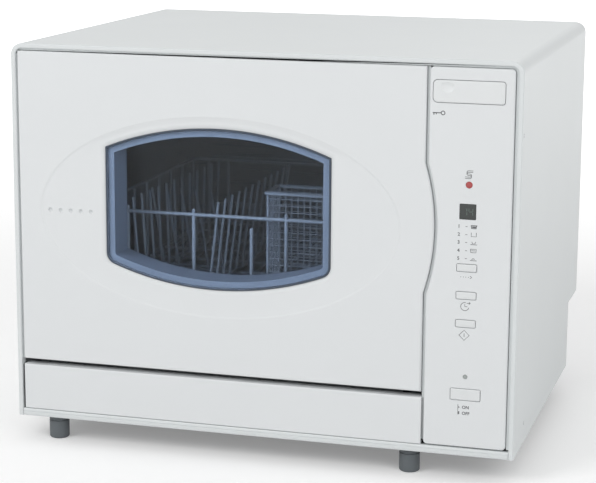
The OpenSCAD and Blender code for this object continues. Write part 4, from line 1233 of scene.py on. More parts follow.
@dataclass
class DoorFace:
    """The door's moulded front: round edges, dished ellipse, collar round the window, five dimples."""

    edge: float = 2.2
    step: float = 0.6
    dish: float = 1.5
    collar: float = 5.0
    collar_depth: float = 1.2
    lip: float = 1.4
    skin: float = 3.2
    shape: DoorShape = DoorShape()
    window: WindowShape = WindowShape()
    dimple_pitch: float = 11.6
    dimple_start: float = 187.6
    dimple_radius: float = 2.4
    dimple_rise: float = 0.1
    dimple_drop: float = 1.2

    def build(self, shop: Shop) -> None:
        """Makes the face and joins it with the rest of the skin."""
        outer = Bench.loft("door_edge", self._edge_rings())
        inner = Bench.loft("door_dish", self._dish_rings())
        face = Bench.join([outer, inner], "door_face")
        Bench.fill_at(face, SIZE.front_set)
        face = Bench.cut(face, self._dimples())
        body = Bench.copy(shop.frame["nodes"]["door_skin"], "door_body")
        Bench.behind(body, SIZE.front_set + self.skin)
        whole = Bench.join([face, body], "door_front")
        Bench.shade(whole, 35)
        shop.place(whole, "door", Paint.DOOR, ["door_skin"])

    def _edge_rings(self) -> list[list[Vector]]:
        """From the side walls round the edge to the flat front."""
        front = SIZE.front_set
        rings = [at_depth(self.shape.ring(0), front + self.skin)]
        for i in range(7):
            turn = math.pi / 2 * i / 6
            inset = self.edge * (1 - math.cos(turn))
            rings.append(at_depth(self.shape.ring(inset), front + self.edge * (1 - math.sin(turn))))
        return rings

    def _dish_rings(self) -> list[list[Vector]]:
        """From the flat front over the ellipse's edge and the dish into the window opening."""
        front = SIZE.front_set
        foot = self.window.ring(-self.collar)
        rings = [
            at_depth(self.shape.ellipse_toward(foot, grow), front + depth)
            for grow, depth in ((1.6, 0.0), (0.5, 0.04), (-0.5, self.step - 0.05))
        ]
        start = self.shape.ellipse_toward(foot, -self.lip)
        for i in range(25):
            share = i / 24
            rings.append(at_depth(between(start, foot, share), front + self._dish_depth(share)))
        for i in range(1, 6):
            inset = -self.collar + self.collar * i / 5
            depth = self.dish + self.collar_depth * (i / 5) ** 1.5
            rings.append(at_depth(self.window.ring(inset), front + depth))
        rings.append(at_depth(self.window.ring(0.05), front + self.dish + self.collar_depth + 1.5))
        return rings

    def _dish_depth(self, share: float) -> float:
        """Depth of the dish at a share of the way from the ellipse to the window, in millimetres."""
        return self.step + (self.dish - self.step) * (1 - (1 - share) ** 2)

    def _dimples(self) -> list[bpy.types.Object]:
        """Round tools for the five dimples left of the window, sunk alike into the dish."""
        tools = []
        start = SIZE.door_middle - self.shape.half_wide + self.lip
        foot = SIZE.door_middle - self.window.width / 2 - self.collar
        for i in range(5):
            Bench.clear()
            x = SIZE.door_middle - self.dimple_start + i * self.dimple_pitch
            depth = SIZE.front_set + self._dish_depth((x - start) / (foot - start)) - self.dimple_rise
            place = spot(x, depth, self.shape.ellipse_z - self.dimple_drop)
            bpy.ops.mesh.primitive_uv_sphere_add(
                segments=32, ring_count=16, radius=self.dimple_radius * MM, location=place
            )
            tools.append(Bench.settle(bpy.context.object))
        return tools


@dataclass
class DoorWindow:
    """Gasket and deep frame of the window, each one moulding round it."""

    shape: WindowShape = WindowShape()
    gasket: tuple[Flat, ...] = (
        (0.15, 7.9), (0.15, 3.5), (0.4, 2.9), (0.8, 2.55), (1.25, 2.45), (1.7, 2.6), (2.05, 2.95), (2.2, 3.4),
        (2.2, 7.9),
    )
    frame: tuple[Flat, ...] = (
        (2.4, 8.7), (2.4, 6.95), (2.65, 6.7), (8.7, 6.7), (9.05, 6.8), (9.2, 7.1), (9.2, 20.0), (9.2, 42.5),
        (8.9, 43.0), (2.4, 43.0), (2.4, 41.0), (7.2, 41.0), (7.2, 8.7),
    )

    def build(self, shop: Shop) -> None:
        """Makes both mouldings."""
        gasket = self.shape.band("gasket_bead", self.gasket)
        shop.place(Bench.shade(gasket, 50), "door", Paint.GASKET, ["window_gasket"])
        frame = self.shape.band("window_tunnel", self.frame)
        shop.place(Bench.shade(frame, 30), "door", Paint.BAND, ["window_frame"])


# Cabinet


@dataclass
class Cabinet:
    """The painted wrap with its rolled hem, the convex strip below, the kick panel and the feet."""

    hem: float = 2.3
    trim_half: float = 269.7
    trim_profile: tuple[Flat, ...] = (
        (5.8, 27.0), (2.0, 27.0), (1.3, 27.5), (0.92, 28.5), (0.8, 30.5), (0.8, 31.9), (1.2, 32.05),
        (1.2, 32.3), (0.8, 32.45), (0.85, 33.8), (1.1, 34.6), (1.6, 35.1), (2.3, 35.3), (5.8, 35.3),
    )
    foot_profile: tuple[Flat, ...] = (
        (0.0, 9.4), (0.3, 10.0), (1.2, 10.8), (1.8, 11.0), (19.8, 11.0), (20.0, 10.85), (20.05, 10.1),
        (21.15, 10.1), (21.2, 10.85), (21.4, 11.0), (26.1, 11.0), (26.7, 10.4), (26.7, 4.0), (47.4, 4.0),
        (47.9, 3.5),
    )
    liner_depth: tuple[float, float] = (4.0, 5.2)
    column_liner: tuple[float, float] = (6.0, 7.2)
    inner_side: float = 270.2
    inner_top: float = 433.2
    inner_bend: float = 7.7
    strip_bend: float = 4.6
    strip_low: float = 40.0
    sweep: Point = (-39.2, 264.0, 226.0)
    foot_x: tuple[float, float] = (-236.0, 162.0)
    foot_y: tuple[float, float] = (21.0, 360.0)

    def build(self, shop: Shop) -> None:
        """Makes the five groups of pieces."""
        self._wrap(shop)
        self._liner(shop)
        self._trim(shop)
        self._kick(shop)
        self._feet(shop)

    def _wrap(self, shop: Shop) -> None:
        """Rolls the front hem of the wrap and softens its other edges."""
        wrap = Bench.copy(shop.frame["nodes"]["cabinet_wrap"], "wrap_with_rolled_hem")
        Bench.bevel_where(wrap, lambda a, b: max(abs(a.y), abs(b.y)) < 0.02, self.hem, 6)
        shop.place(Bench.shade(wrap, 32), "cabinet", Paint.ENAMEL, ["cabinet_wrap"])

    def _liner(self, shop: Shop) -> None:
        """A pale strip set back in the gaps round the door and the column, and another between them."""
        side, top, bend = self.inner_side, self.inner_top, self.inner_bend
        left, right, high = SIZE.door_left - 0.5, SIZE.column_right + 0.6, SIZE.door_high + 0.5
        foot_left, foot_right = SIZE.door_low + 0.5, SIZE.column_low + 0.5
        corner, quarter = self.strip_bend, math.pi / 2
        around = [
            (-side, foot_left),
            *arc_points(-side + bend, top - bend, bend, 2 * quarter, quarter, 10),
            *arc_points(side - bend, top - bend, bend, quarter, 0, 10),
            (side, foot_right),
            (right, foot_right),
            *arc_points(right - corner, high - corner, corner, 0, quarter, 6),
            (left, high),
            (left, foot_left),
        ]
        near = self._gap_side(SIZE.door_right + 0.5, 0.5)
        far = self._gap_side(SIZE.column_left - 0.1, 3.4)
        middle = [*near, *reversed(far)]
        pieces = [
            Bench.loft("gap_strip", [at_depth(ring, depth) for depth in depths], "flat")
            for ring, depths in ((around, self.liner_depth), (middle, self.column_liner))
        ]
        liner = Bench.join(pieces, "gap_liner")
        shop.place(Bench.shade(liner, 40), "cabinet", Paint.ENAMEL)

    def _gap_side(self, x: float, grow: float) -> list[Flat]:
        """One side of the strip between door and column, from the bottom to the top."""
        cx, cz, radius = self.sweep
        reach = math.acos((x - cx) / (radius + grow))
        arc = arc_points(cx, cz, radius + grow, -reach, reach, 32)
        return [(x, self.strip_low), *arc, (x, SIZE.door_high - 0.5)]

    def _trim(self, shop: Shop) -> None:
        """A convex strip with a fine groove along it."""
        rings = [[spot(x, y, z) for y, z in self.trim_profile] for x in (-self.trim_half, self.trim_half)]
        trim = Bench.loft("bottom_strip", rings, "flat")
        shop.place(Bench.shade(trim, 30), "cabinet", Paint.ENAMEL, ["bottom_trim"])

    @staticmethod
    def _kick(shop: Shop) -> None:
        """Softens the kick panel's edges."""
        kick = Bench.copy(shop.frame["nodes"]["kick_panel"], "kick_panel_soft")
        Bench.bevel_where(kick, lambda a, b: max(a.y, b.y) < 1.6, 0.6, 3)
        shop.place(Bench.shade(kick, 30), "cabinet", Paint.DOOR, ["kick_panel"])

    def _feet(self, shop: Shop) -> None:
        """Turns one foot and copies it to the other corners."""
        first = None
        for end, y in zip(("front", "rear"), self.foot_y):
            for side, x in zip(("left", "right"), self.foot_x):
                name = f"foot_{end}_{side}"
                if first is None:
                    up = Vector((0, 0, 1))
                    first = Bench.turned("turned_" + name, spot(x, y, 0), up, self.foot_profile)
                    home = (x, y)
                    foot = first
                else:
                    foot = Bench.again(first, "turned_" + name, (x - home[0], y - home[1], 0))
                shop.place(foot, shop.body_of(name), Paint.FOOT, [name])


# Control column


@dataclass(frozen=True)
class Pad:
    """A push button seen from the front: its plate with corner radii, and its depths."""

    centre: Flat
    width: float
    height: float
    left: float = 1.2
    right: float = 1.2
    front: float = 0.6
    back: float = 10.5
    collar: float = 2.0
    rounding: float = 0.7
    slope: float = 0.0

    def build(self, name: str) -> bpy.types.Object:
        """Lofts the button from its back over the collar to a slightly convex front."""
        steps = [(0.0, self.back), (0.0, 6.1), (-self.collar, 6.1), (-self.collar, 4.6), (0.0, 4.6)]
        for i in range(5):
            turn = math.pi / 2 * i / 4
            inward, back = (self.rounding * (1 - part(turn)) for part in (math.cos, math.sin))
            steps.append((inward, self.front + 0.1 + back))
        steps += [(self.rounding + 0.7, self.front + 0.04), (self.rounding + 1.5, self.front)]
        rings = []
        for inset, depth in steps:
            ring = pad_ring(self.centre, self.width, self.height, self.left, self.right, inset)
            fall = self.slope if depth < self.front + self.rounding + 0.1 else 0.0
            rings.append([spot(x, depth + fall * self._drop(z), z) for x, z in ring])
        return Bench.loft(name, rings, "flat")

    def _drop(self, z: float) -> float:
        """How far a height lies down the front, 0 at the top and 1 at the bottom."""
        return 0.5 - (z - self.centre[1]) / self.height


@dataclass
class Column:
    """The control column: fascia, opening bar, keys, lenses and display."""

    front: float = 1.2
    open_pad: Pad = Pad((220.0, 405.6), 73.0, 22.6, 4.6, 2.6, front=0.3, collar=0.8, back=11.5, rounding=1.1)
    key_pad: Pad = Pad((221.8, 226.4), 20.4, 7.6, front=0.1, rounding=0.8, slope=0.7)
    key_steps: tuple[float, ...] = (0.0, -28.8, -58.2)
    power_pad: Pad = Pad((223.4, 93.0), 31.0, 12.0, front=0.1, rounding=0.9, slope=0.9)
    thumb: Point = (197.9, -1.3, 409.7)
    thumb_reach: Point = (9.0, 3.0, 6.5)
    rod: Flat = (192.0, 399.0)
    gap: float = 0.5
    screen: Pad = Pad((221.5, 284.4), 16.8, 15.8, 0.8, 0.8)
    lights: tuple[Point, ...] = ((222.2, 311.9, 3.6), (222.9, 112.1, 2.4))
    sweep: Point = (-39.2, 264.0, 229.5)
    corner: float = 4.0
    edge: float = 1.9
    skin: float = 2.4

    def build(self, shop: Shop) -> None:
        """Makes every piece of the column."""
        self._fascia(shop)
        self._open_bar(shop)
        self._keys(shop)
        self._lenses(shop)
        self._display(shop)

    def _outline(self, inset: float) -> list[Flat]:
        """The column's front view drawn in by an inset, with a left side that follows the door."""
        left, right = SIZE.column_left + inset, SIZE.column_right - inset
        low, high = SIZE.column_low + inset, SIZE.column_high - inset
        r = self.corner - inset
        cx, cz, radius = self.sweep
        turn = math.acos((left - cx) / (radius + inset))
        quarter = math.pi / 2
        return [
            *arc_points(right - r, low + r, r, -quarter, 0, 6),
            *arc_points(right - r, high - r, r, 0, quarter, 6),
            *arc_points(left + r, high - r, r, quarter, 2 * quarter, 6),
            *arc_points(cx, cz, radius + inset, turn, -turn, 36),
            *arc_points(left + r, low + r, r, 2 * quarter, 3 * quarter, 6),
        ]

    def _holes(self) -> list[Callable[[float], list[Flat]]]:
        """The outline of each opening in the plate, as a function of how far it is drawn in."""
        pads = [self.open_pad, self.power_pad, self.screen]
        x, z = self.key_pad.centre
        pads += [replace(self.key_pad, centre=(x, z + step)) for step in self.key_steps]

        def pad_hole(pad: Pad) -> Callable[[float], list[Flat]]:
            gap = 0.2 if pad is self.screen else self.gap
            wide, high = pad.width + 2 * gap, pad.height + 2 * gap
            return lambda inset: pad_ring(pad.centre, wide, high, pad.left + gap, pad.right + gap, inset)

        def round_hole(x: float, z: float, r: float) -> Callable[[float], list[Flat]]:
            return lambda inset: arc_points(x, z, r - inset, 0, 2 * math.pi, 40)[:-1]

        return [pad_hole(pad) for pad in pads] + [round_hole(*light) for light in self.lights]

    def _fascia(self, shop: Shop) -> None:
        """The front plate with a round outer edge and softened openings, joined with the walls behind it."""
        rings = [at_depth(self._outline(0), self.front + self.skin)]
        for i in range(7):
            turn = math.pi / 2 * i / 6
            inset, back = (self.edge * (1 - part(turn)) for part in (math.cos, math.sin))
            rings.append(at_depth(self._outline(inset), self.front + back))
        parts = [Bench.loft("column_edge", rings)]
        for hole in self._holes():
            steps = ((-0.25, 0.0), (-0.08, 0.07), (0.0, 0.25), (0.0, self.skin))
            rings = [at_depth(hole(inset), self.front + back) for inset, back in steps]
            parts.append(Bench.loft("column_hole", rings))
        face = Bench.fill_at(Bench.join(parts, "column_face"), self.front)
        walls = Bench.copy(shop.frame["nodes"]["control_fascia"], "column_walls")
        whole = Bench.join([face, Bench.behind(walls, self.front + self.skin)], "column_front")
        shop.place(Bench.shade(whole, 30), "cabinet", Paint.DOOR, ["control_fascia"])

    def _open_bar(self, shop: Shop) -> None:
        """The opening bar with its shallow thumb dimple and the rod behind it."""
        bar = self.open_pad.build("opening_bar")
        Bench.clear()
        bpy.ops.mesh.primitive_uv_sphere_add(segments=48, ring_count=24, radius=1, location=spot(*self.thumb))
        tool = bpy.context.object
        tool.scale = Vector(self.thumb_reach) * MM
        Bench.cut(bar, [Bench.settle(tool)])
        profile = ((9.5, 3.0), (87.0, 3.0), (88.0, 2.2))
        rod = Bench.turned("opening_rod", *at_depth([self.rod], 0), Vector((0, 1, 0)), profile, 24)
        bar = Bench.join([bar, rod], "opening_bar")
        shop.place(Bench.shade(bar, 35), shop.body_of("open_button"), Paint.KEY, ["open_button"])

    def _keys(self, shop: Shop) -> None:
        """Three small keys, modelled once, and the power key."""
        first = None
        for name, step in zip(("programme", "delay", "start"), self.key_steps):
            node = name + "_button"
            if first is None:
                first = Bench.shade(self.key_pad.build(name + "_key"), 35)
                key = first
            else:
                key = Bench.again(first, name + "_key", (0, 0, step))
            shop.place(key, shop.body_of(node), Paint.KEY, [node])
        power = Bench.shade(self.power_pad.build("power_key"), 35)
        shop.place(power, shop.body_of("power_button"), Paint.KEY, ["power_button"])

    def _lenses(self, shop: Shop) -> None:
        """Two domed lenses."""
        out = Vector((0, -1, 0))
        dome = ((-9.5, 3.5), (-1.4, 3.5), (-1.15, 3.4), (-0.95, 3.0), (-0.85, 2.2), (-0.8, 1.2), (-0.78, 0.3))
        (red_x, red_z, _), (grey_x, grey_z, _) = self.lights
        red = Bench.turned("salt_lens", spot(red_x, 0.2, red_z), out, dome, 40)
        shop.place(red, "cabinet", Paint.RED, ["salt_light"])
        small = tuple((height, radius * 2.3 / 3.5) for height, radius in dome)
        grey = Bench.turned("power_lens", spot(grey_x, 0.2, grey_z), out, small, 32)
        shop.place(grey, "cabinet", Paint.LAMP, ["power_light"])

    def _display(self, shop: Shop) -> None:
        """The smoked window with two digits made of bars."""
        centre, wide, high = self.screen.centre, self.screen.width, self.screen.height
        steps = ((0.0, 9.5), (0.0, 1.75), (0.15, 1.5), (0.4, 1.42), (1.2, 1.4))
        rings = [at_depth(pad_ring(centre, wide, high, 0.8, 0.8, inset), depth) for inset, depth in steps]
        window = Bench.loft("display_lens", rings, "flat")
        shop.place(Bench.shade(window, 35), "cabinet", Paint.DISPLAY, ["display_window"])
        bars = []
        for index, digit in enumerate("14"):
            bars += self._digit(digit, centre[0] - 3.1 + index * 6.2, centre[1])
        shop.place(Bench.join(bars, "display_digits"), "cabinet", Paint.DIGIT)

    @staticmethod
    def _digit(digit: str, x: float, z: float) -> list[bpy.types.Object]:
        """The lit bars of one digit, 4 wide and 8 high."""
        lit = {"1": "bc", "4": "bcfg"}[digit]
        places = {"b": (2, 2, 0), "c": (2, -2, 0), "f": (-2, 2, 0), "g": (0, 0, 1)}
        bars = []
        for segment in lit:
            dx, dz, flat = places[segment]
            wide, high = (3.2, 0.7) if flat else (0.7, 3.2)
            rings = [
                at_depth(pad_ring((x + dx, z + dz), wide, high, 0.3, 0.3, inset, 3), depth)
                for inset, depth in ((0.0, 1.5), (0.0, 1.37), (0.08, 1.34))
            ]
            bars.append(Bench.loft("digit_bar", rings, "flat"))
        return bars


@dataclass
class Prints:
    """Plain numbers and small signs printed on the column."""

    plane: float = 1.2
    line: float = 0.6
    rows: tuple[float, ...] = (269.6, 261.3, 253.2, 244.7, 236.5)

    def build(self, shop: Shop) -> None:
        """Makes the signs and joins them into one print."""
        marks = [
            *self._key_sign(), *self._salt_sign(), *self._rows(), *self._programme_sign(), *self._clock(),
            *self._start_sign(), *self._power_sign(),
        ]
        shop.place(Bench.join(marks, "column_print"), "cabinet", Paint.INK)

    def stroke(self, points: Sequence[Flat], width: float = 0.0) -> bpy.types.Object:
        """A flat printed line along points."""
        path = [Vector((x, 0, z)) * MM for x, z in points]
        line = Bench.sweep("printed_line", path, width or self.line, 8, True)
        line.scale = (1, 0.14, 1)
        line.location = (0, spot(0, self.plane - 0.01, 0).y, 0)
        return Bench.settle(line)

    def words(self, text: str, x: float, z: float, size: float) -> bpy.types.Object:
        """Plain figures or letters with their left lower corner at a place."""
        Bench.clear()
        bpy.ops.object.text_add(location=spot(x, self.plane - 0.03, z), rotation=(math.pi / 2, 0, 0))
        thing = bpy.context.object
        thing.data.body = text
        thing.data.size = size * MM
        thing.data.extrude = 0.02 * MM
        thing.data.offset = 0.12 * MM
        thing.data.resolution_u = 3
        bpy.ops.object.convert(target="MESH")
        thing.name = "printed_words"
        return Bench.settle(thing)

    def _key_sign(self) -> list[bpy.types.Object]:
        """A small key."""
        return [
            self.stroke(arc_points(193.9, 383.7, 1.9, math.pi, 3 * math.pi, 20), 0.9),
            self.stroke([(192.0, 383.7), (183.8, 383.7)], 1.0),
            self.stroke([(184.6, 383.6), (184.6, 382.0)], 1.0),
            self.stroke([(187.0, 383.6), (187.0, 382.4)], 1.0),
        ]

    def _salt_sign(self) -> list[bpy.types.Object]:
        """Two nested curves that turn one into the other."""
        marks = []
        for shift in (-0.75, 0.75):
            upper = arc_points(221.2, 324.1 + shift, 1.6, math.pi / 2, 3 * math.pi / 2, 10)
            lower = arc_points(222.8, 320.9 + shift, 1.6, math.pi / 2, -math.pi / 2, 10)
            marks.append(self.stroke([(226.0, 325.7 + shift), *upper, *lower, (218.0, 319.3 + shift)]))
        return marks

    def _rows(self) -> list[bpy.types.Object]:
        """Five numbers, each with a dash and a small picture."""
        marks = []
        for number, z in enumerate(self.rows, 1):
            marks.append(self.words(str(number), 211.6, z - 1.9, 5.0))
            marks.append(self.stroke([(219.6, z - 0.3), (221.4, z - 0.3)], 0.6))
        pot, tray, cup, bowl, plate = self.rows
        lines: tuple[tuple[float, tuple[Flat, ...]], ...] = (
            (0.9, ((225.4, pot + 0.6), (225.8, pot - 2.0), (230.4, pot - 2.0), (230.8, pot + 0.6))),
            (0.8, ((225.0, pot + 1.0), (231.2, pot + 1.0))),
            (1.6, ((226.4, pot - 0.6), (229.8, pot - 0.6))),
            (0.0, ((225.6, tray + 2.0), (225.6, tray - 2.0), (230.8, tray - 2.0), (230.8, tray + 2.0))),
            (0.0, ((225.0, cup - 2.2), (231.6, cup - 2.2))),
            (0.6, ((226.4, cup + 0.8), (227.0, cup - 1.2), (229.6, cup - 1.2), (230.2, cup + 0.8))),
            (0.0, ((225.2, bowl + 1.6), (231.2, bowl + 1.6), (230.8, bowl - 1.9), (225.6, bowl - 1.9))),
            (0.0, ((225.6, bowl - 1.9), (225.2, bowl + 1.6))),
            (0.0, ((226.2, bowl), (230.2, bowl))),
            (0.0, ((225.0, plate - 2.0), (231.6, plate - 2.0))),
            (0.0, tuple(arc_points(228.2, plate - 1.6, 1.6, math.pi * 0.15, math.pi * 0.85, 8))),
        )
        marks += [self.stroke(points, width) for width, points in lines]
        return marks

    def _programme_sign(self) -> list[bpy.types.Object]:
        """A row of dots with an arrow under the first key."""
        dots = [self.stroke([(x, 217.0), (x + 0.5, 217.0)], 0.7) for x in (215.6, 218.2, 220.8, 223.4)]
        return [*dots, self.stroke([(225.4, 218.3), (227.4, 217.0), (225.4, 215.7)])]

    def _clock(self) -> list[bpy.types.Object]:
        """A clock face with an arrow."""
        return [
            self.stroke(arc_points(220.8, 186.2, 4.2, math.radians(75), math.radians(345), 28)),
            self.stroke([(220.8, 188.6), (220.8, 186.2), (223.2, 186.2)]),
            self.stroke([(222.6, 189.9), (226.2, 189.9)]),
            self.stroke([(225.0, 191.0), (226.4, 189.9), (225.0, 188.8)]),
        ]

    def _start_sign(self) -> list[bpy.types.Object]:
        """A diamond with an upright bar."""
        x, z, reach = 220.8, 156.0, 5.3
        return [
            self.stroke([(x - reach, z), (x, z - reach), (x + reach, z), (x, z + reach), (x - reach, z)]),
            self.stroke([(x, z - 1.8), (x, z + 1.8)]),
        ]

    def _power_sign(self) -> list[bpy.types.Object]:
        """The words ON and OFF, each beside the button's position as a small sign."""
        return [
            self.words("ON", 220.4, 78.0, 4.6), self.words("OFF", 220.4, 71.6, 4.6),
            self.stroke([(216.2, 71.4), (216.2, 82.2)], 0.5),
            self.stroke([(216.2, 80.6), (217.8, 79.4), (216.2, 78.2)], 0.7),
            self.stroke([(217.2, 75.0), (217.2, 72.2)], 1.1),
        ]


# Rack, basket and wheels


@dataclass
class Rack:
    """The wire rack as one weldment: bent round wires with the places and diameters of the plain rods."""

    left: float = -216.0
    right: float = 124.0
    front: float = 69.0
    back: float = 425.0
    floor: float = 156.0
    top: float = 250.5
    slant: float = 12.0
    wire: float = 4.0
    tine: float = 3.0
    corner: float = 13.0
    wheel_y: tuple[float, float] = (228.0, 405.0)
    wheel_z: float = 148.8
    posts: tuple[float, ...] = (-196.0, -170.0, -93.6, 11.4, 64.0, 104.0)
    rows: tuple[Point, ...] = ((-166.0, -8.0, 1.2), (-85.0, 11.0, 0.4))
    play: float = 0.4
    overhang: float = 6.0
    cross_rise: float = 2.6
    rail_rise: float = 1.6
    row_start: float = 26.0
    row_pitch: float = 24.0
    row_count: int = 12
    row_high: float = 98.6
    short_pitch: float = 18.0
    short_count: int = 5
    short_lean: float = -15.0
    short_high: float = 90.0
    axle: tuple[Flat, ...] = ((-2.0, 3.0), (15.6, 3.0), (16.5, 2.3))

    def build(self, shop: Shop) -> None:
        """Makes floor, sides, ends and plate supports."""
        self._floor(shop)
        self._sides(shop)
        self._ends(shop)
        self._supports(shop)

    def _wire(
        self, points: Sequence[Point], diameter: float, bend: float = 0.0, tip: bool = False
    ) -> bpy.types.Object:
        """One wire through layout points, bent at its corners."""
        path = [spot(*p) for p in points]
        if bend:
            path = bent(path, bend)
        return Bench.sweep("wire", path, diameter, 12, tip)

    def _floor(self, shop: Shop) -> None:
        """Fifteen wires front to back on seven cross wires."""
        edge = self.wire / 2 + self.play
        half = (self.right - self.left) / 2 - edge
        middle = (self.left + self.right) / 2
        y0, y1 = self.front + self.slant + edge, self.back - edge
        x0 = middle - half + self.overhang
        first = self._wire([(x0, y0, self.floor), (x0, y1, self.floor)], self.tine)
        wires = [first]
        wires += [Bench.again(first, "wire", (i * (2 * half - 12) / 14, 0, 0)) for i in range(1, 15)]
        up = self.floor + self.cross_rise
        across = self._wire([(middle - half, y0 + 8, up), (middle + half, y0 + 8, up)], self.wire)
        wires.append(across)
        wires += [Bench.again(across, "wire", (0, i * (y1 - y0 - 12) / 6, 0)) for i in range(1, 7)]
        shop.place(Bench.join(wires, "rack_floor_wires"), "rack", Paint.COATED, ["rack_floor"])

    def _side(self, side: int) -> list[bpy.types.Object]:
        """Wires of one side wall with its wheel hangers and axles."""
        x = self.right if side > 0 else self.left
        hang = x + side
        low = self.floor + 3
        inner = x - side * (self.corner + 1)
        plan = ((inner, self.front), (x, self.front), (x, self.back), (inner, self.back))
        rail = [(across, y, self.top) for across, y in plan]
        wires = [
            self._wire(rail, self.wire, self.corner),
            self._wire([(x, self.front + self.slant, low), (x, self.back, low)], self.wire),
        ]
        y0 = self.front + self.slant + 4
        upright = self._wire([(x, y0, low), (x, y0, self.top)], self.tine)
        wires.append(upright)
        step = (self.back - self.front - self.slant - 8) / 8
        wires += [Bench.again(upright, "wire", (0, i * step, 0)) for i in range(1, 9)]
        for y in self.wheel_y:
            hook = [(hang, y - 14, low), (hang, y, self.wheel_z), (hang, y + 14, low)]
            wires.append(self._wire(hook, self.wire, 3.0))
            wires.append(self._wire([(hang, y - 16, low), (hang, y + 16, low)], self.wire))
            centre, out = spot(hang, y, self.wheel_z), Vector((side, 0, 0))
            wires.append(Bench.turned("axle", centre, out, self.axle, 24))
        return wires

    def _sides(self, shop: Shop) -> None:
        """Both side walls, one object."""
        sides = Bench.join([*self._side(-1), *self._side(1)], "rack_side_wires")
        shop.place(sides, "rack", Paint.COATED, ["rack_sides"])

    def _ends(self, shop: Shop) -> None:
        """Front and back walls."""
        edge = self.wire / 2 + self.play
        left, right = self.left + edge, self.right - edge
        turn = self.left + self.corner + 1, self.right - self.corner - 1
        wires = []
        for y in (self.front, self.back):
            wires.append(self._wire([(turn[0], y, self.top), (turn[1], y, self.top)], self.wire))
            low = self.floor + self.slant
            wires.append(self._wire([(left, y, low), (right, y, low)], self.wire))
        for y in (self.front + self.slant, self.back):
            wires.append(self._wire([(left, y, self.floor), (right, y, self.floor)], self.wire))
        home = self.posts[0]
        low = (home, self.front + self.slant, self.floor)
        knee = (home, self.front, self.floor + self.slant)
        front = self._wire([low, knee, (home, self.front, self.top + 5)], self.wire, 10.0, True)
        rear = self._wire([(home, self.back, self.floor), (home, self.back, self.top)], self.wire)
        wires += [front, rear]
        for x in self.posts[1:]:
            wires += [Bench.again(post, "wire", (x - home, 0, 0)) for post in (front, rear)]
        stay = [(-28.0, self.front + 1, self.floor + self.slant - 1), (-28.0, self.front + 1, self.top - 13)]
        wires.append(self._wire(stay, self.wire, 0.0, True))
        shop.place(Bench.join(wires, "rack_end_wires"), "rack", Paint.COATED, ["rack_ends"])

    def _supports(self, shop: Shop) -> None:
        """Two rows of plate supports along the rack and a short one across it."""
        foot = self.floor + self.cross_rise + self.wire / 2 + 0.3
        rail, start = foot + self.rail_rise, self.front + self.row_start
        last = start + (self.row_count - 1) * self.row_pitch
        wires = []
        for x, lean, step in self.rows:
            for i in range(self.row_count):
                y = start + i * self.row_pitch
                top = (x + lean + i * step, y, foot + self.row_high)
                wires.append(self._wire([(x, y, foot), top], self.tine, 0.0, True))
            ends = [(x, start - self.overhang, rail), (x, last + self.overhang, rail)]
            wires.append(self._wire(ends, self.tine))
        shop.place(Bench.join(wires, "plate_support_wires"), "rack", Paint.COATED, ["plate_supports"])
        x, y = self.rows[0][0] - 10, start + 4.5 * self.row_pitch
        top = (x + self.short_lean, y, foot + self.short_high)
        leaning = self._wire([(x, y, foot), top], self.tine, 0.0, True)
        shifts = [i * self.short_pitch for i in range(1, self.short_count)]
        across = [leaning, *(Bench.again(leaning, "wire", (shift, 0, 0)) for shift in shifts)]
        ends = [(x - self.overhang, y, rail), (x + shifts[-1] + self.overhang, y, rail)]
        across.append(self._wire(ends, self.tine))
        shop.place(Bench.join(across, "cross_row_wires"), "rack", Paint.COATED)


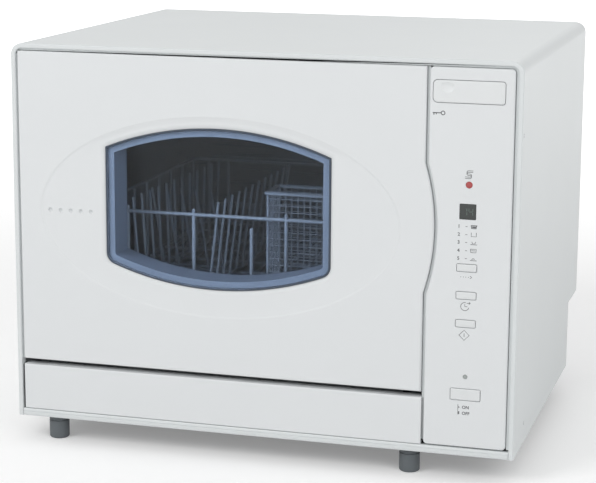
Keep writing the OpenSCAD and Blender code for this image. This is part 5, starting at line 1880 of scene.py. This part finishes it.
@dataclass
class Basket:
    """The cutlery basket: fine mesh walls in a stiff border, a rim and a grip."""

    low: Point = (-14.5, 80.0, 161.0)
    size: Point = (128.0, 48.0, 117.0)
    cell: float = 7.2
    mesh: float = 1.5
    border: float = 3.0

    def build(self, shop: Shop) -> None:
        """Makes the basket as one object."""
        pieces = [self._walls(), *self._border(), self._rim(), self._grip()]
        basket = Bench.join(pieces, "cutlery_basket_mesh")
        shop.place(basket, shop.body_of("cutlery_basket"), Paint.COATED, ["cutlery_basket"])

    def _walls(self) -> bpy.types.Object:
        """Five grids turned into a net of square bars."""
        x0, y0, z0 = self.low
        wide, deep, high = self.size
        inset = self.mesh / 2
        x, y, z = x0 + wide / 2, y0 + deep / 2, z0 + high / 2
        broad, narrow = (wide - 2 * inset, high), (deep - 2 * inset, high)
        facing, aside = (math.pi / 2, 0, 0), (math.pi / 2, 0, math.pi / 2)
        plans = (
            ((x, y0 + inset, z), broad, facing),
            ((x, y0 + deep - inset, z), broad, facing),
            ((x0 + inset, y, z), narrow, aside),
            ((x0 + wide - inset, y, z), narrow, aside),
            ((x, y, z0 + inset), (wide, deep), (0, 0, 0)),
        )
        grids = []
        for centre, (across, up), turn in plans:
            Bench.clear()
            bpy.ops.mesh.primitive_grid_add(
                x_subdivisions=round(across / self.cell), y_subdivisions=round(up / self.cell), size=1,
                location=spot(*centre), rotation=turn,
            )
            grid = bpy.context.object
            grid.scale = (across * MM, up * MM, 1)
            Bench.settle(grid)
            Bench.apply(grid, "WIREFRAME", thickness=self.mesh * MM, use_even_offset=False, use_boundary=True)
            grids.append(grid)
        return Bench.join(grids, "basket_net")

    def _border(self) -> list[bpy.types.Object]:
        """Stiff bars at the corners and round the floor."""
        x0, y0, z0 = self.low
        wide, deep, high = self.size
        r = self.border / 2
        x1, y1 = x0 + wide - r, y0 + deep - r
        corners = [(x0 + r, y0 + r), (x1, y0 + r), (x1, y1), (x0 + r, y1)]
        bars = []
        for index, (x, y) in enumerate(corners):
            end = corners[(index + 1) % 4]
            upright = [spot(x, y, z0 + 0.3), spot(x, y, z0 + high - 2)]
            along = [spot(x, y, z0 + r), spot(*end, z0 + r)]
            bars += [Bench.sweep("basket_bar", path, self.border, 10) for path in (upright, along)]
        return bars

    def _rim(self) -> bpy.types.Object:
        """The rolled rim, a closed moulding round the top."""
        x0, y0, z0 = self.low
        wide, deep, high = self.size
        centre = (x0 + wide / 2, y0 + deep / 2)
        outside = ((0.6, 0.0), (0.0, 0.4), (0.0, 2.4), (0.5, 2.95), (1.4, 3.0))
        inside = ((4.3, 3.0), (4.9, 2.5), (5.0, 0.4), (4.4, 0.0))
        rings = []
        for inset, rise in (*outside, *inside):
            ring = pad_ring(centre, wide + 6, deep + 4, 5.5, 5.5, inset)
            rings.append([spot(x, y, z0 + high - 3 + rise) for x, y in ring])
        return Bench.shade(Bench.loft("basket_rim", rings, "round"), 40)

    def _grip(self) -> bpy.types.Object:
        """The partition in the middle with a hole for the fingers."""
        x0, y0, z0 = self.low
        wide, deep, high = self.size
        x = x0 + wide / 2
        low, high_corner = spot(x - 1.5, y0 + 2, z0 + high - 26), spot(x + 1.5, y0 + deep - 2, z0 + high)
        plate = Bench.box("basket_grip", low, high_corner)
        rings = [
            [spot(at, y, z) for y, z in pad_ring((y0 + deep / 2, z0 + high - 12), 30.0, 12.0, 5.8, 5.8, 0.0)]
            for at in (x - 4, x + 4)
        ]
        Bench.cut(plate, [Bench.loft("finger_hole", rings, "flat")])
        return Bench.soften(plate, 0.6, 2)


@dataclass
class Wheels:
    """Four grooved rack wheels, turned once and copied."""

    profile: tuple[Flat, ...] = (
        (-4.5, 3.1), (-4.5, 5.6), (-4.1, 6.0), (-2.1, 6.1), (-2.0, 8.8), (-4.2, 9.0), (-4.5, 9.4),
        (-4.5, 11.2), (-4.2, 11.7), (-3.4, 12.0), (-1.2, 12.0), (-0.9, 11.4), (0.9, 11.4), (1.2, 12.0),
        (3.4, 12.0), (4.2, 11.7), (4.5, 11.2), (4.5, 9.4), (4.2, 9.0), (2.0, 8.8), (2.1, 6.1), (4.1, 6.0),
        (4.5, 5.6), (4.5, 3.1), (-4.5, 3.1),
    )
    reach: float = 182.0
    places: tuple[tuple[str, float], ...] = (("front", Rack.wheel_y[0]), ("rear", Rack.wheel_y[1]))
    height: float = Rack.wheel_z

    def build(self, shop: Shop) -> None:
        """Makes the four wheels."""
        middle = SIZE.door_middle
        home = (middle - self.reach, self.places[0][1])
        first = None
        for end, y in self.places:
            for side, sign in (("left", -1), ("right", 1)):
                node = f"rack_wheel_{end}_{side}"
                x = middle + sign * self.reach
                if first is None:
                    centre = spot(x, y, self.height)
                    first = Bench.turned("turned_" + node, centre, Vector((1, 0, 0)), self.profile, 48, True)
                    wheel = first
                else:
                    wheel = Bench.again(first, "turned_" + node, (x - home[0], y - home[1], 0))
                shop.place(wheel, shop.body_of(node), Paint.GREY, [node])


# Tub, inner door and water parts


@dataclass
class Inside:
    """Softened copies of the parts inside, with pressings in the tub and on the inner door."""

    window: WindowShape = WindowShape()
    soft: tuple[tuple[str, Paint, float], ...] = (
        ("dispenser", Paint.GREY, 0.8), ("dispenser_lid", Paint.GREY, 0.7), ("rinse_cap", Paint.RINSE, 0.6),
        ("salt_cap", Paint.SALT, 0.8), ("filter_cup", Paint.GREY, 0.5), ("spray_hub", Paint.GREY, 0.5),
        ("spray_arm", Paint.GREY, 1.2), ("hinge_arms", Paint.ZINC, 0.3), ("hinge_brackets", Paint.ZINC, 0.3),
        ("door_striker", Paint.STEEL, 0.3), ("latch_hook", Paint.ZINC, 0.3),
        ("latch_housing", Paint.LATCH, 0.5), ("wheel_rails", Paint.STEEL, 0.5),
        ("base_tray", Paint.TRAY, 0.6), ("heater", Paint.STEEL, 0.8), ("softener", Paint.CLEAR, 1.5),
        ("air_break", Paint.CLEAR, 1.2), ("inlet_valve", Paint.CLEAR, 0.6), ("drain_pump", Paint.PUMP, 0.8),
        ("circulation_pump", Paint.PUMP, 1.5), ("sump", Paint.PUMP, 1.2), ("cord_gland", Paint.SEAL, 0.6),
        ("door_inner_panel", Paint.STEEL, 0.4), ("control_board", Paint.BOARD, 0.2),
    )
    opening_middle: Flat = (SIZE.door_middle, 268.25)
    opening_size: Flat = (392.0, 311.5)
    opening_corner: float = 6.0
    bead_middle: Flat = (SIZE.door_middle, 190.0)
    bead_size: Flat = (300.0, 10.0)
    bead_profile: tuple[Flat, ...] = ((0.0, 436.1), (0.8, 435.3), (2.0, 434.9), (3.2, 434.8))
    bead_rises: tuple[float, ...] = (60.0, 120.0, 180.0)
    seal_profile: tuple[Flat, ...] = (
        (8.0, 56.0), (8.0, 52.0), (7.4, 50.9), (6.4, 50.35), (5.0, 50.3), (3.4, 50.6), (2.2, 51.4),
        (1.3, 52.6), (1.0, 54.0), (1.0, 56.0),
    )

    def build(self, shop: Shop) -> None:
        """Dresses the parts and adds the pressings."""
        for node, paint, width in self.soft:
            shop.dress(node, paint, width)
        shop.dress("tub", Paint.STEEL, 0)
        self._seal(shop)
        self._door_pressing(shop)
        self._tub_beads(shop)

    def _opening(self, grow: float) -> list[Flat]:
        """The tub's opening in front view, grown outwards."""
        wide, high = (edge + 2 * grow for edge in self.opening_size)
        corner = self.opening_corner + grow
        return pad_ring(self.opening_middle, wide, high, corner, corner, 0.0, 8)

    def _seal(self, shop: Shop) -> None:
        """The soft lip that the inner door presses on."""
        rings = [at_depth(self._opening(grow), depth) for grow, depth in self.seal_profile]
        seal = Bench.loft("seal_lip", rings, "round")
        shop.place(Bench.shade(seal, 40), "cabinet", Paint.SEAL, ["tub_seal"])

    def _door_pressing(self, shop: Shop) -> None:
        """A raised frame pressed round the window in the inner door."""
        profile = ((-9.0, 49.9), (-10.0, 50.5), (-11.0, 50.8), (-15.0, 50.8), (-16.0, 50.5), (-17.0, 49.9))
        frame = self.window.band("inner_window_pressing", profile)
        shop.place(Bench.shade(frame, 50), "door", Paint.STEEL)

    def _tub_beads(self, shop: Shop) -> None:
        """Stiffening beads on the tub's back wall, one modelled and the others copied."""
        bend = self.bead_size[1] / 2
        rings = [
            at_depth(pad_ring(self.bead_middle, *self.bead_size, bend, bend, inset), depth)
            for inset, depth in self.bead_profile
        ]
        first = Bench.shade(Bench.loft("tub_bead", rings, "flat"), 50)
        beads = [first, *(Bench.again(first, "tub_bead", (0, 0, rise)) for rise in self.bead_rises)]
        shop.place(Bench.join(beads, "tub_beads"), "cabinet", Paint.STEEL)


@dataclass
class Back:
    """The back panel with sunk screws, and the screws in the side dimples."""

    screws: tuple[Flat, ...] = (
        (-262.0, 118.0), (-262.0, 270.0), (-262.0, 418.0), (0.0, 427.0), (262.0, 418.0), (262.0, 270.0),
        (262.0, 118.0), (0.0, 116.0),
    )
    head: tuple[Flat, ...] = ((-1.0, 2.0), (0.0, 3.7), (0.25, 3.75), (0.4, 3.5), (0.45, 0.4))
    sink: tuple[Flat, ...] = ((0.0, 5.4), (0.6, 5.2), (1.3, 4.4))
    side_x: float = 274.1
    side_places: tuple[Flat, ...] = ((12.0, 363.0), (67.0, 48.0))

    def build(self, shop: Shop) -> None:
        """Makes the panel and the screws."""
        panel = Bench.copy(shop.frame["nodes"]["back_panel"], "back_panel_pressed")
        Bench.bevel_where(panel, lambda a, b: 448 < min(a.y, b.y) and max(a.y, b.y) < 450, 1.2, 3)
        inward = Vector((0, -1, 0))
        places = [spot(x, SIZE.depth + 0.5, z) for x, z in self.screws]
        Bench.cut(panel, [Bench.turned("sink", place, inward, self.sink, 32) for place in places])
        shop.place(Bench.shade(panel, 30), "cabinet", Paint.ZINC, ["back_panel"])
        x0, z0 = self.screws[0]
        first = self._screw(Vector((0, 1, 0)), spot(x0, SIZE.depth - 0.6, z0))
        heads = [first, *(Bench.again(first, "screw", (x - x0, 0, z - z0)) for x, z in self.screws[1:])]
        shop.place(Bench.join(heads, "back_screws"), "cabinet", Paint.SCREW)
        self._side_screws(shop)

    def _screw(self, along: Vector, place: Vector) -> bpy.types.Object:
        """A flat head with a cross cut into it."""
        head = Bench.turned("screw", place, along, self.head, 32)
        side = along.cross(Vector((0, 0, 1)))
        up = Vector((0, 0, 1))
        tools = []
        for one, other in ((side, up), (up, side)):
            reach = (one * 2.3 + other * 0.4 + along * 0.4) * MM
            reach = Vector([abs(v) for v in reach])
            middle = place + along * 0.35 * MM
            tools.append(Bench.box("cross", middle - reach, middle + reach))
        return Bench.cut(head, tools)

    def _side_screws(self, shop: Shop) -> None:
        """Small heads at the bottom of the four side dimples."""
        heads = [
            self._screw(Vector((sign, 0, 0)), spot(sign * self.side_x, y, z))
            for sign in (-1, 1) for y, z in self.side_places
        ]
        shop.place(Bench.join(heads, "side_screws"), "cabinet", Paint.SCREW)


def main() -> None:
    """Builds the whole scene in order."""
    logging.basicConfig(level=logging.INFO, format="%(name)s: %(message)s")
    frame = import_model()
    palette = Palette()
    for paint, names in CAD_FINISH.items():
        for name in names.split():
            palette.coat(frame["nodes"][name], paint)
    shop = Shop(frame, palette)
    DoorFace().build(shop)
    DoorWindow().build(shop)
    Cabinet().build(shop)
    Column().build(shop)
    Prints().build(shop)
    Rack().build(shop)
    Basket().build(shop)
    Wheels().build(shop)
    Inside().build(shop)
    Back().build(shop)
    Studio().build()


if __name__ == "__main__":
    main()
